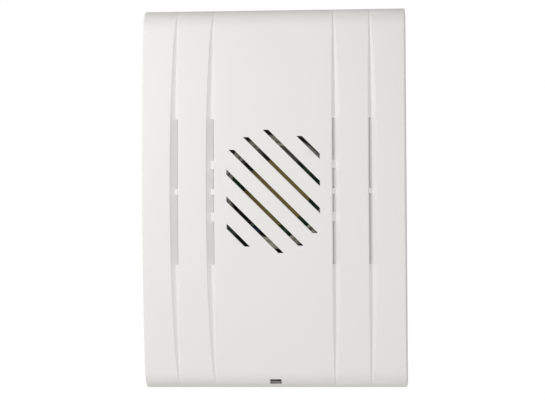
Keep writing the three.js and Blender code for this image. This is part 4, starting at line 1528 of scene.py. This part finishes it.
@dataclass
class BackHousing:
    """The back housing with the latch and the tamper switch that it carries."""

    palette: Palette
    edge: float = 0.25 * MM
    fine_edge: float = 0.15 * MM

    def build(self) -> None:
        """Builds the housing's pieces and hands them over."""
        palette = self.palette
        for node, name, finish, body, slot, edge in (
            ("back_housing", "back_housing", palette.housing, Body.HOUSING, Slot.HOUSING, self.edge),
            ("release_latch", "release_latch", palette.latch, Body.LATCH, Slot.LATCH, self.edge),
            ("tamper_switch_body", "tamper_switch", palette.black, Body.HOUSING, Slot.BLACK, self.fine_edge),
            ("tamper_plunger", "tamper_plunger", palette.plunger, Body.PLUNGER, Slot.PLUNGER, self.fine_edge),
        ):
            restyle(node, f"siren_{name}", [finish], body, slot, edge)


# ---- sounder ----


@dataclass
class Sounder:
    """The piezo disc, its support and leads, and the collar round them."""

    palette: Palette
    growers: Growers
    collar_inner: float = 17.5 * MM
    collar_outer: float = 21.6 * MM
    collar_back: float = 17 * MM
    collar_rim: float = 1.2 * MM
    collar_channel: float = 1.6 * MM
    leg_radius: float = 1.6 * MM
    leg_angles: tuple[int, ...] = (45, 135, 225, 315)
    support_wall: float = 1.2 * MM
    lead_radius: float = 0.65 * MM
    sides: int = 96

    def __post_init__(self) -> None:
        """Reads the sounder's axis and the leads' places from the frame."""
        disc = Extent.of("piezo_brass_disc")
        self.across = disc.across
        self.up = disc.up
        self.disc_radius = disc.radius
        self.lead_out = Extent.of("circuit_board").front + self.lead_radius + 0.25 * MM
        self.tuck = self.collar_inner - self.lead_radius - 0.4 * MM

    def around(self, radius: float, degrees: float, out: float) -> Vector:
        """A place round the sounder's axis."""
        angle = math.radians(degrees)
        return place(self.across + radius * math.cos(angle), self.up + radius * math.sin(angle), out)

    def collar(self) -> None:
        """Turns the grooved collar and stands it on its legs."""
        box = Extent.of("acoustic_collar")
        floor = box.front - self.collar_channel
        outline = [
            (self.collar_inner, self.collar_back),
            (self.collar_outer, self.collar_back),
            (self.collar_outer, box.front),
            (self.collar_outer - self.collar_rim, box.front),
            (self.collar_outer - self.collar_rim, floor),
            (self.collar_inner + self.collar_rim, floor),
            (self.collar_inner + self.collar_rim, box.front),
            (self.collar_inner, box.front),
        ]
        draft = Draft()
        draft.turned(filleted(outline, 0.28 * MM, 3), self.across, self.up, self.sides, ring=True)
        middle = (self.collar_inner + self.collar_outer) / 2
        for degrees in self.leg_angles:
            foot = self.around(middle, degrees, 0.0)
            leg = [
                (self.leg_radius - 0.3 * MM, box.back),
                (self.leg_radius, box.back + 0.3 * MM),
                (self.leg_radius, self.collar_back + 1 * MM),
            ]
            draft.turned(leg, foot.x, foot.z, 28)
        collar = draft.done("siren_collar", [self.palette.collar])
        publish(collar, Body.HOUSING, Slot.COLLAR, "acoustic_collar")

    def plate(self, node: str, name: str, edge: float, finish: bpy.types.Material, slot: Slot) -> None:
        """Turns one of the sounder's flat discs, with its edge eased.

        Args:
            node: The CAD node.
            name: The new piece's name.
            edge: The width of the eased edge.
            finish: Its material.
            slot: The record's slot for its finish.
        """
        box = Extent.of(node)
        radius = box.radius
        corners = rectangle(0.0, radius, box.back, box.front)
        draft = Draft()
        draft.turned(filleted(corners, edge, 3, closed=False), self.across, self.up, self.sides)
        publish(draft.done(name, [finish]), Body.HOUSING, slot, node)

    def support(self) -> None:
        """Turns the ring under the disc."""
        box = Extent.of("piezo_support")
        outer = box.radius
        inner = outer - self.support_wall
        outline = rectangle(inner, outer, box.back, box.front)
        draft = Draft()
        draft.turned(filleted(outline, 0.2 * MM, 3), self.across, self.up, 64, ring=True)
        ring = draft.done("siren_piezo_support", [self.palette.support])
        publish(ring, Body.HOUSING, Slot.SUPPORT, "piezo_support")

    def leads(self) -> None:
        """Draws the black and the blue lead from the disc to their pads."""
        black = ((-1.5, 178, 2.0), (0.9, 181, 1.8)), (
            (-0.5, 190, 1.5), (0.0, 202, 1.3), (0.0, 214, 1.2), (-0.5, 223, 0.8), (-1.8, 229, 0.3),
            (-3.3, 232, 0.0))
        blue = ((-1.5, 257, 2.0), (1.2, 252, 1.8)), (
            (-0.5, 245, 1.3), (0.0, 237, 0.7), (0.0, 231, 0.0))
        for name, (by_disc, by_collar), finish, slot in (
            ("black", black, self.palette.lead_black, Slot.LEAD_BLACK),
            ("blue", blue, self.palette.lead_blue, Slot.LEAD_BLUE),
        ):
            route = [
                self.around(start + r * MM, a, self.lead_out + out * MM)
                for start, steps in ((self.disc_radius, by_disc), (self.tuck, by_collar))
                for r, a, out in steps
            ]
            lead = self.growers.wires.draw(f"siren_lead_{name}", [route], finish, self.lead_radius)
            publish(lead, Body.HOUSING, slot, f"piezo_lead_{name}")

    def build(self) -> None:
        """Builds the sounder and hands it over."""
        palette = self.palette
        self.collar()
        self.plate("piezo_brass_disc", "siren_brass_disc", 0.12 * MM, palette.brass, Slot.BRASS)
        self.plate("piezo_ceramic_disc", "siren_ceramic_disc", 0.08 * MM, palette.ceramic, Slot.CERAMIC)
        self.support()
        self.leads()

    def pads(self) -> list[Vector]:
        """Where the leads meet the board."""
        return [self.around(self.tuck - 3.3 * MM, 232, 0.0), self.around(self.tuck, 231, 0.0)]


# ---- circuit board ----


@dataclass
class CircuitBoard:
    """The drive board: its laminate, copper and legend, and the parts that stand on it."""

    palette: Palette
    growers: Growers
    sounder: Sounder
    pitch: float = 2.54 * MM
    track_radius: float = 0.5 * MM
    track_proud: float = 0.06 * MM
    legend_radius: float = 0.16 * MM
    legend_proud: float = 0.02 * MM
    legend_margin: float = 0.7 * MM
    wire: float = 0.3 * MM
    chip_toe: float = 0.2 * MM
    transistor_pitch: float = 2.3 * MM
    joint: tuple[Point, ...] = (
        (0.0, -0.3), (1.0, -0.3), (1.0, 0.05), (0.6, 0.12), (0.42, 0.34), (0.3, 0.6), (0.0, 0.62),
    )
    screws: int = 4
    ways: int = 6
    resistors: int = 4
    diodes: int = 2

    def __post_init__(self) -> None:
        """Reads the board's place from the frame."""
        self.box = Extent.of("circuit_board")
        self.seat = Extent.of("tone_jumper_header").back

    def build(self) -> None:
        """Builds the board and its parts and hands them over."""
        self.laminate()
        self.copper()
        self.legend()
        self.board_screws()
        self.terminals()
        self.transformer()
        self.can("capacitor_large")
        self.can("capacitor_small")
        stub = self.seat + 2.95 * MM
        self.legged("drive_transistor", "siren_transistor", lambda middle: int(-middle.y < stub))
        chip = Extent.of("tone_chip")
        body_half = 3.25 * MM
        self.legged("tone_chip", "siren_tone_chip", lambda middle: int(
            abs(middle.z - chip.up) > body_half or -middle.y < self.seat + 0.4 * MM))
        self.axial_parts()
        self.jumpers()

    def laminate(self) -> None:
        """The board itself, lacquered on its faces and bare at its edges."""
        middle = self.box.out
        near = (self.box.front - self.box.back) / 4
        finishes = [self.palette.board, self.palette.laminate]
        restyle("circuit_board", "siren_circuit_board", finishes, Body.HOUSING, Slot.BOARD, 0.08 * MM,
                lambda centre: int(abs(-centre.y - middle) < near))

    def feet(self) -> dict[str, Vector]:
        """Where each part's legs meet the board, by name."""
        places: dict[str, Vector] = {}
        axial = [f"resistor_{i + 1}" for i in range(self.resistors)]
        axial += [f"diode_{i + 1}" for i in range(self.diodes)]
        for node in axial:
            box = Extent.of(node)
            places[node + "_top"] = place(box.across, box.top - self.wire, 0.0)
            places[node + "_low"] = place(box.across, box.bottom + self.wire, 0.0)
        chip = Extent.of("tone_chip")
        for pin in range(4):
            across = chip.across + (pin - 1.5) * self.pitch
            places[f"chip_top_{pin}"] = place(across, chip.top - self.chip_toe, 0.0)
            places[f"chip_low_{pin}"] = place(across, chip.bottom + self.chip_toe, 0.0)
        transistor = Extent.of("drive_transistor")
        for leg in (-1, 0, 1):
            across = transistor.across + leg * self.transistor_pitch
            places[f"transistor_{leg + 1}"] = place(across, transistor.up, 0.0)
        black, blue = self.sounder.pads()
        places["lead_black"] = black
        places["lead_blue"] = blue
        return places

    def copper(self) -> None:
        """Solder joints at every leg, and tracks between them under the lacquer."""
        feet = self.feet()
        joint = Draft()
        joint.turned([(r * MM, self.box.front + out * MM) for r, out in self.joint], 0.0, 0.0, 20)
        tinned = self.palette.tinned
        part = joint.done("joint", [tinned], 50)
        spots = list(feet.values())
        joints = self.growers.parts.set_out("siren_solder_joints", part, spots, tinned, math.tau, 7)
        publish(joints, Body.HOUSING, Slot.TINNED)
        block = Extent.of("terminal_block")
        ways = [
            place((way - (self.ways - 1) / 2) * 2 * self.pitch, block.top - 1 * MM, 0.0)
            for way in range(self.ways)
        ]
        transformer = Extent.of("transformer_core")
        can = Extent.of("capacitor_large")
        header = Extent.of("tone_jumper_header")
        core_low = place(transformer.across, transformer.bottom, 0.0)
        core_side = place(transformer.right, transformer.up, 0.0)
        pairs = (
            (ways[0], core_low, 0.5),
            (ways[1], feet["resistor_2_low"], 0.6),
            (ways[2], feet["resistor_1_low"], 0.5),
            (ways[3], feet["chip_low_0"], 0.6),
            (ways[4], feet["chip_low_2"], 0.45),
            (ways[5], place(header.left, header.up, 0.0), 0.4),
            (feet["resistor_2_top"], core_side, 0.5),
            (feet["resistor_1_top"], feet["lead_black"], 0.5),
            (feet["chip_top_0"], feet["lead_blue"], 0.35),
            (feet["chip_top_3"], feet["transistor_0"], 0.5),
            (feet["chip_low_3"], place(header.left, header.up - 1.2 * MM, 0.0), 0.5),
            (feet["transistor_1"], feet["resistor_3_low"], 0.5),
            (feet["transistor_2"], feet["resistor_4_low"], 0.5),
            (feet["diode_1_low"], can.foot, 0.5),
            (feet["diode_2_low"], place(transformer.across + 5 * MM, transformer.top, 0.0), 0.5),
        )
        sunk = self.box.front + self.track_proud - self.track_radius
        routes = [self.track(start, end, bend, sunk) for start, end, bend in pairs]
        finish = self.palette.track
        tracks = self.growers.wires.draw("siren_board_tracks", routes, finish, self.track_radius, False)
        publish(tracks, Body.HOUSING, Slot.BOARD)

    @staticmethod
    def track(start: Vector, end: Vector, bend: float, out: float) -> list[Vector]:
        """A track that runs up the board, slants across, and runs up again.

        Args:
            start: One end.
            end: The other end.
            bend: Where the slant's middle lies, from 0 at the start to 1 at the end.
            out: Its height out of the wall.

        Returns:
            Its places, in order.
        """
        rise = end.z - start.z
        run = end.x - start.x
        slant = min(abs(run), abs(rise) * 0.9) * (1 if rise >= 0 else -1)
        straight = rise - slant
        corner = start.z + straight * bend
        ends = ((start.x, start.z), (start.x, corner), (end.x, corner + slant), (end.x, end.z))
        return [place(across, up, out) for across, up in ends]

    def legend(self) -> None:
        """Printed outlines round the larger parts."""
        margin = self.legend_margin
        sunk = self.box.front + self.legend_proud - self.legend_radius
        loops = []
        for node in (
            "terminal_block", "transformer_core", "tone_chip", "drive_transistor", "tone_jumper_header",
            "tamper_switch_body", *(f"resistor_{i + 1}" for i in range(self.resistors)),
        ):
            box = Extent.of(node)
            low = max(box.bottom - margin, self.box.bottom + margin)
            high = min(box.top + margin, self.box.top - margin)
            left, right = box.left - margin, box.right + margin
            outline = filleted(rectangle(left, right, low, high), 0.5 * MM, 3)
            loops.append([place(across, up, sunk) for across, up in outline + outline[:1]])
        for node in ("capacitor_large", "capacitor_small"):
            box = Extent.of(node)
            radius = box.radius + 0.5 * margin
            loops.append([
                place(box.across + radius * math.cos(a), box.up + radius * math.sin(a), sunk)
                for a in turn_angles(40) + [0.0]
            ])
        ink = self.palette.legend
        outlines = self.growers.wires.draw("siren_board_legend", loops, ink, self.legend_radius, False, 10)
        publish(outlines, Body.HOUSING, Slot.BOARD)

    def repeat(self, part: bpy.types.Object, name: str, nodes: Sequence[str], finish: bpy.types.Material,
               slot: Slot, turn: float = 0.0, seed: int = 1) -> None:
        """Sets one part, drawn at the origin, at the middle of each of some nodes and hands them over.

        Args:
            part: The part, drawn at the origin.
            name: The new piece's name.
            nodes: The CAD nodes that they stand for.
            finish: Its material.
            slot: The record's slot for its finish.
            turn: The most that each is turned, in radians.
            seed: The seed of the turns.
        """
        places = [Extent.of(node).foot for node in nodes]
        made = self.growers.parts.set_out(name, part, places, finish, turn, seed)
        publish(made, Body.HOUSING, slot, *nodes)

    def screw(
        self, profile: Sequence[Point], ease: float, sides: int, recess: Sequence[Extent]
    ) -> bpy.types.Object:
        """Turns a screw from its profile and cuts its recess.

        Args:
            profile: The points that are turned, in order.
            ease: The reach of the profile's fillets.
            sides: Segments in one turn.
            recess: The blocks that cut its recess.

        Returns:
            The screw, drawn at the origin.
        """
        steel = [self.palette.steel]
        draft, driver = Draft(), Draft()
        draft.turned(filleted(profile, ease, 3, closed=False), 0.0, 0.0, sides)
        screw = draft.done("screw", steel, 40)
        for arm in recess:
            driver.block(arm)
        carve(screw, driver.done("recess", steel))
        return screw

    def board_screws(self) -> None:
        """Pan-head screws with a cross recess at the board's corners."""
        nodes = [f"board_screw_{i + 1}" for i in range(self.screws)]
        box = Extent.of(nodes[0])
        front, back, head = box.front, box.back, box.radius
        shank, under = 1.2 * MM, front - 1.8 * MM
        profile = [(0.0, back), (0.5 * MM, back), (shank, back + 1 * MM), (shank, under), (head, under)]
        profile += [(head, under + 0.7 * MM), (0.86 * head, front - 0.3 * MM), (0.5 * head, front)]
        profile.append((0.0, front))
        long, short = 1.5 * MM, 0.35 * MM
        depths = (front - 0.9 * MM, front + 0.5 * MM)
        cross = [Extent(-long, long, -short, short, *depths), Extent(-short, short, -long, long, *depths)]
        screw = self.screw(profile, 0.3 * MM, 40, cross)
        self.repeat(screw, "siren_board_screws", nodes, self.palette.steel, Slot.STEEL, math.pi / 2, 11)

    def terminals(self) -> None:
        """The terminal block with its clamps and slotted screws."""
        palette = self.palette
        restyle("terminal_block", "siren_terminal_block", [palette.terminal], Body.HOUSING, Slot.TERMINAL,
                0.18 * MM)
        clamps = [f"terminal_clamp_{way + 1}" for way in range(self.ways)]
        clamp = softened(clamps[0], "clamp", [palette.tinned], 0.1 * MM)
        clamp.data.transform(Matrix.Translation(-Extent.of(clamps[0]).foot))
        self.repeat(clamp, "siren_terminal_clamps", clamps, palette.tinned, Slot.TINNED)
        nodes = [f"terminal_screw_{way + 1}" for way in range(self.ways)]
        box = Extent.of(nodes[0])
        front, back, head = box.front, box.back, box.radius
        shank, under = 0.9 * MM, front - 2.7 * MM
        profile = [(0.0, back), (shank, back), (shank, under), (head, under), (head, front), (0.0, front)]
        groove = [Extent(-2 * head, 2 * head, -0.3 * MM, 0.3 * MM, front - 0.9 * MM, front + 0.5 * MM)]
        screw = self.screw(profile, 0.2 * MM, 32, groove)
        self.repeat(screw, "siren_terminal_screws", nodes, palette.steel, Slot.STEEL, math.pi, 5)

    def transformer(self) -> None:
        """Ferrite core, bobbin, wire turns and the tape round them."""
        palette = self.palette
        for part, finish, slot, edge in (
            ("core", palette.ferrite, Slot.FERRITE, 0.25 * MM),
            ("bobbin", palette.black, Slot.BLACK, 0.15 * MM),
        ):
            restyle(f"transformer_{part}", f"siren_transformer_{part}", [finish], Body.HOUSING, slot, edge)
        box = Extent.of("transformer_winding")
        wire = 0.18 * MM
        width, depth = box.right - box.left, box.front - box.back
        height = box.top - box.bottom - 2 * wire
        centre = bpy.data.meshes.new("winding_centre")
        centre.from_pydata([place(box.across, box.up, box.out)], [], [])
        turns = self.growers.windings.grow("siren_transformer_turns", centre, {
            "Width": width - 3 * wire,
            "Depth": depth - 3 * wire,
            "Corner": 1.2 * MM,
            "Height": height,
            "Turns": round(height / (2 * wire)) + 1,
            "Wire": wire,
            "Finish": palette.wire,
        })
        publish(turns, Body.HOUSING, Slot.WINDING, "transformer_winding")
        half = 0.32 * (box.top - box.bottom)
        draft = Draft()
        loops = []
        for thickness, up in ((0.0, -half), (0.0, half), (1.0 * MM, half), (1.0 * MM, -half)):
            left, right = box.left + thickness, box.right - thickness
            back, front = box.back + thickness, box.front - thickness
            outline = filleted(rectangle(left, right, back, front), 1.4 * MM, 5)
            loops.append([place(across, box.up + up, out) for across, out in outline])
        draft.loft(loops, ring=True)
        publish(draft.done("siren_transformer_tape", [palette.tape]), Body.HOUSING, Slot.WINDING)

    def can(self, node: str) -> None:
        """A can capacitor in its sleeve, with a scored vent in its bare top.

        Args:
            node: The CAD node.
        """
        box = Extent.of(node)
        radius = box.radius
        profile = [
            (0.0, box.back),
            (radius - 0.4 * MM, box.back),
            (radius, box.back + 0.5 * MM),
            (radius, box.back + 1.2 * MM),
            (radius - 0.35 * MM, box.back + 1.7 * MM),
            (radius, box.back + 2.2 * MM),
            (radius, box.front),
            (radius - 0.85 * MM, box.front),
            (radius - 0.9 * MM, box.front - 0.2 * MM),
            (0.0, box.front - 0.2 * MM),
        ]
        eased = filleted(profile, 0.45 * MM, 3, closed=False)
        bare = [int(r < radius - 0.84 * MM and out > box.front - 0.3 * MM) for r, out in eased]
        draft = Draft()
        draft.turned(eased, box.across, box.up, 48, bare)
        edge = box.left + 0.35 * radius
        sleeve = Sleeve(f"{node}_sleeve", (0.02, 0.028, 0.085), (0.55, 0.57, 0.6), edge).material()
        can = draft.done(f"siren_{node}", [sleeve, self.palette.aluminium])
        score = Draft()
        reach, thin = 0.5 * radius, 0.13 * MM
        arm = ((thin, -thin), (reach, -thin), (reach, thin))
        cross = [place(across, up, 0.0) for across, up in arm]
        quarter = Matrix.Rotation(-math.pi / 2, 3, "Y")
        for _ in range(3):
            cross += [quarter @ point for point in cross[-3:]]
        depths = (box.front - 0.35 * MM, box.front + 0.5 * MM)
        score.loft([[point + place(box.across, box.up, out) for point in cross] for out in depths])
        carve(can, score.done("score", [self.palette.aluminium]))
        crisp(can.data)
        publish(can, Body.HOUSING, Slot.SLEEVE, node)

    def legged(self, node: str, name: str, is_leg: Callable[[Vector], int]) -> None:
        """A moulded part with tinned legs."""
        finishes = [self.palette.component, self.palette.tinned]
        restyle(node, name, finishes, Body.HOUSING, Slot.COMPONENT, 0.12 * MM, is_leg)

    def axial(self, node: str, finish: bpy.types.Material, waist: float, slot: Slot) -> None:
        """A barrel between two bent wires.

        Args:
            node: The CAD node.
            finish: The barrel's material.
            waist: How far the barrel narrows between its ends.
            slot: The record's slot for its finish.
        """
        box = Extent.of(node)
        radius = box.radius
        wire = self.wire
        half = (3.15 if slot is Slot.RESISTOR else 2.5) * MM
        axis = self.seat + radius
        profile = [
            (0.0, -half),
            (0.7 * radius, -half),
            (radius, -0.88 * half),
            (radius, -0.6 * half),
            (radius - waist, -0.45 * half),
            (radius - waist, 0.45 * half),
            (radius, 0.6 * half),
            (radius, 0.88 * half),
            (0.7 * radius, half),
            (0.0, half),
        ]
        eased = filleted(profile, 0.4 * MM, 3, closed=False)
        draft = Draft()
        draft.upright([(r, box.up + up) for r, up in eased], box.across, axis, 36)
        reach = (box.top - box.bottom) / 2 - wire
        for side in (-1, 1):
            foot = self.box.front - 0.1 * MM
            bent = [(side * 0.8 * half, axis), (side * reach, axis), (side * reach, foot)]
            route = filleted(bent, 0.7 * MM, 5, closed=False)
            draft.tube([place(box.across, box.up + up, out) for up, out in route], wire, 10, 1)
        publish(draft.done(f"siren_{node}", [finish, self.palette.tinned]), Body.HOUSING, slot, node)

    def axial_parts(self) -> None:
        """Four banded resistors and two banded diodes."""
        brown, black, red = (0.13, 0.035, 0.012), (0.012, 0.012, 0.012), (0.45, 0.02, 0.015)
        orange = (0.7, 0.16, 0.02)
        yellow, gold, violet = (0.75, 0.5, 0.03), (0.42, 0.28, 0.07), (0.14, 0.04, 0.32)
        codes = ((brown, black, orange), (yellow, violet, red), (red, red, brown), (brown, black, yellow))
        levels = (2.25, 0.95, 0.0, -2.25)
        for number, code in enumerate(codes):
            node = f"resistor_{number + 1}"
            middle = Extent.of(node).up
            bands = tuple((middle + level * MM, colour) for level, colour in zip(levels, (*code, gold)))
            finish = BandedLacquer(f"{node}_lacquer", (0.56, 0.40, 0.20), bands).material()
            self.axial(node, finish, 0.2 * MM, Slot.RESISTOR)
        for number in range(self.diodes):
            node = f"diode_{number + 1}"
            band = ((Extent.of(node).up + 1.55 * MM, (0.62, 0.62, 0.6)),)
            finish = BandedLacquer(f"{node}_body", (0.02, 0.02, 0.022), band, 0.8 * MM).material()
            self.axial(node, finish, 0.0, Slot.COMPONENT)

    def jumpers(self) -> None:
        """The pin header's base and pins, and the two caps on it."""
        box = Extent.of("tone_jumper_header")
        base = Draft()
        for column in (-1, 0, 1):
            middle = box.across + column * self.pitch
            half = self.pitch / 2
            left, right = middle - half, middle + half
            notch = 0.45 * MM
            outline = [
                (left + notch, box.bottom), (right - notch, box.bottom), (right, box.bottom + notch),
                (right, box.top - notch), (right - notch, box.top), (left + notch, box.top),
                (left, box.top - notch), (left, box.bottom + notch),
            ]
            base.prism(outline, box.back, box.back + 2.5 * MM)
        header = base.done("siren_jumper_base", [self.palette.black])
        publish(header, Body.HOUSING, Slot.BLACK, "tone_jumper_header")
        pin = Draft()
        half, tip = 0.32 * MM, 0.17 * MM
        levels = ((half, box.back - 0.3 * MM), (half, box.front - 0.4 * MM), (tip, box.front))
        pin.loft([[place(a, b, out) for a, b in rectangle(-r, r, -r, r)] for r, out in levels])
        part = pin.done("pin", [self.palette.tinned])
        places = [
            place(box.across + column * self.pitch, box.up + row * self.pitch, 0.0)
            for column in (-1, 0, 1) for row in (-0.5, 0.5)
        ]
        pins = self.growers.parts.set_out("siren_jumper_pins", part, places, self.palette.tinned)
        publish(pins, Body.HOUSING, Slot.TINNED)
        for number in (1, 2):
            node = f"tone_jumper_{number}"
            restyle(node, f"siren_{node}", [self.palette.jumper], Body.HOUSING, Slot.JUMPER, 0.2 * MM)


# ---- studio ----


@dataclass(frozen=True)
class Lamp:
    """A soft round light that points at the siren."""

    name: str
    stands: tuple[float, float, float]
    width: float
    power: float

    def light(self) -> None:
        """Puts the light in the scene."""
        data = bpy.data.lights.new(self.name, "AREA")
        data.shape = "DISK"
        data.size = self.width
        data.energy = self.power
        lamp = linked(self.name, data)
        lamp.location = self.stands
        lamp.rotation_euler = (-Vector(self.stands)).to_track_quat("-Z", "Y").to_euler()
        lamp.visible_camera = False


@dataclass
class Studio:
    """The pale floor, the soft lights and the camera."""

    azimuth: float = 4.497
    elevation: float = -0.766
    roll: float = -0.365
    distance: float = 0.75
    lens: float = 130.34
    sensor: float = 36.0
    aim: tuple[float, float, float] = (-0.001718, -0.018, -0.00047)
    floor_drop: float = 0.24
    floor_half: float = 1.6
    sky: float = 0.44
    lamps: tuple[Lamp, ...] = (
        Lamp("key_lamp", (-0.25, -0.7, 0.31), 0.12, 1.15),
        Lamp("side_lamp", (-0.26, -0.26, 0.08), 0.16, 0.31),
        Lamp("fill_lamp", (0.2, -0.8, -0.15), 0.11, 0.86),
        Lamp("left_rear_lamp", (-1.0, 0.5, 0.35), 0.5, 1.7),
        Lamp("right_rear_lamp", (1.0, 0.5, 0.35), 0.5, 1.7),
    )

    def camera(self) -> None:
        """Places the camera at its viewing angle."""
        azimuth, elevation, roll = (math.radians(a) for a in (self.azimuth, self.elevation, self.roll))
        away = Vector((
            math.sin(azimuth) * math.cos(elevation),
            -math.cos(azimuth) * math.cos(elevation),
            math.sin(elevation),
        ))
        right = (-away).cross(Vector((0.0, 0.0, 1.0))).normalized()
        upward = right.cross(-away)
        turned_right = right * math.cos(roll) + upward * math.sin(roll)
        turned_up = upward * math.cos(roll) - right * math.sin(roll)
        data = bpy.data.cameras.new("studio_camera")
        data.lens = self.lens
        data.sensor_width = self.sensor
        camera = linked("studio_camera", data)
        turn = Matrix((turned_right, turned_up, away)).transposed().to_4x4()
        camera.matrix_world = Matrix.Translation(Vector(self.aim) + away * self.distance) @ turn
        bpy.context.scene.camera = camera

    def lights(self) -> None:
        """Soft lamps round the siren, and an even pale sky."""
        for lamp in self.lamps:
            lamp.light()
        world = bpy.data.worlds.new("studio_sky")
        world.use_nodes = True
        bpy.context.scene.world = world
        bench = Bench(world.node_tree)
        paths = bench.node("ShaderNodeLightPath")
        lit, seen = (
            bench.node("ShaderNodeBackground", None, {"Color": (1, 1, 1, 1), "Strength": strength})
            for strength in (self.sky, 1.0)
        )
        mixed = bench.node("ShaderNodeMixShader", None, {0: paths.outputs["Is Camera Ray"]})
        bench.fill(mixed.inputs[1], lit.outputs[0])
        bench.fill(mixed.inputs[2], seen.outputs[0])
        output = next(node for node in bench.tree.nodes if node.type == "OUTPUT_WORLD")
        bench.fill(output.inputs["Surface"], mixed.outputs[0])
        bpy.context.scene.view_settings.view_transform = "Standard"

    def floor(self) -> None:
        """A plain pale floor well below the siren."""
        level = CAD_BOX[0][2] - self.floor_drop
        reach = self.floor_half
        mesh = bpy.data.meshes.new("studio_floor")
        corners = [(across, back, level) for across, back in rectangle(-reach, reach, -reach, reach)]
        mesh.from_pydata(corners, [], [(0, 1, 2, 3)])
        finish = MouldedPlastic("studio_floor", (0.92, 0.92, 0.915), 0.7, 2 * MM, mottle=0.01)
        mesh.materials.append(finish.material())
        linked("studio_floor", mesh)

    def build(self) -> None:
        """Sets up the studio."""
        self.camera()
        self.lights()
        self.floor()


def main() -> None:
    """Builds the studio and the siren."""
    logging.basicConfig(level=logging.INFO, format="%(name)s: %(message)s")
    Studio().build()
    palette = Palette()
    growers = Growers()
    sounder = Sounder(palette, growers)
    FrontCover(palette).build()
    BackHousing(palette).build()
    sounder.build()
    CircuitBoard(palette, growers, sounder).build()


if __name__ == "__main__":
    main()
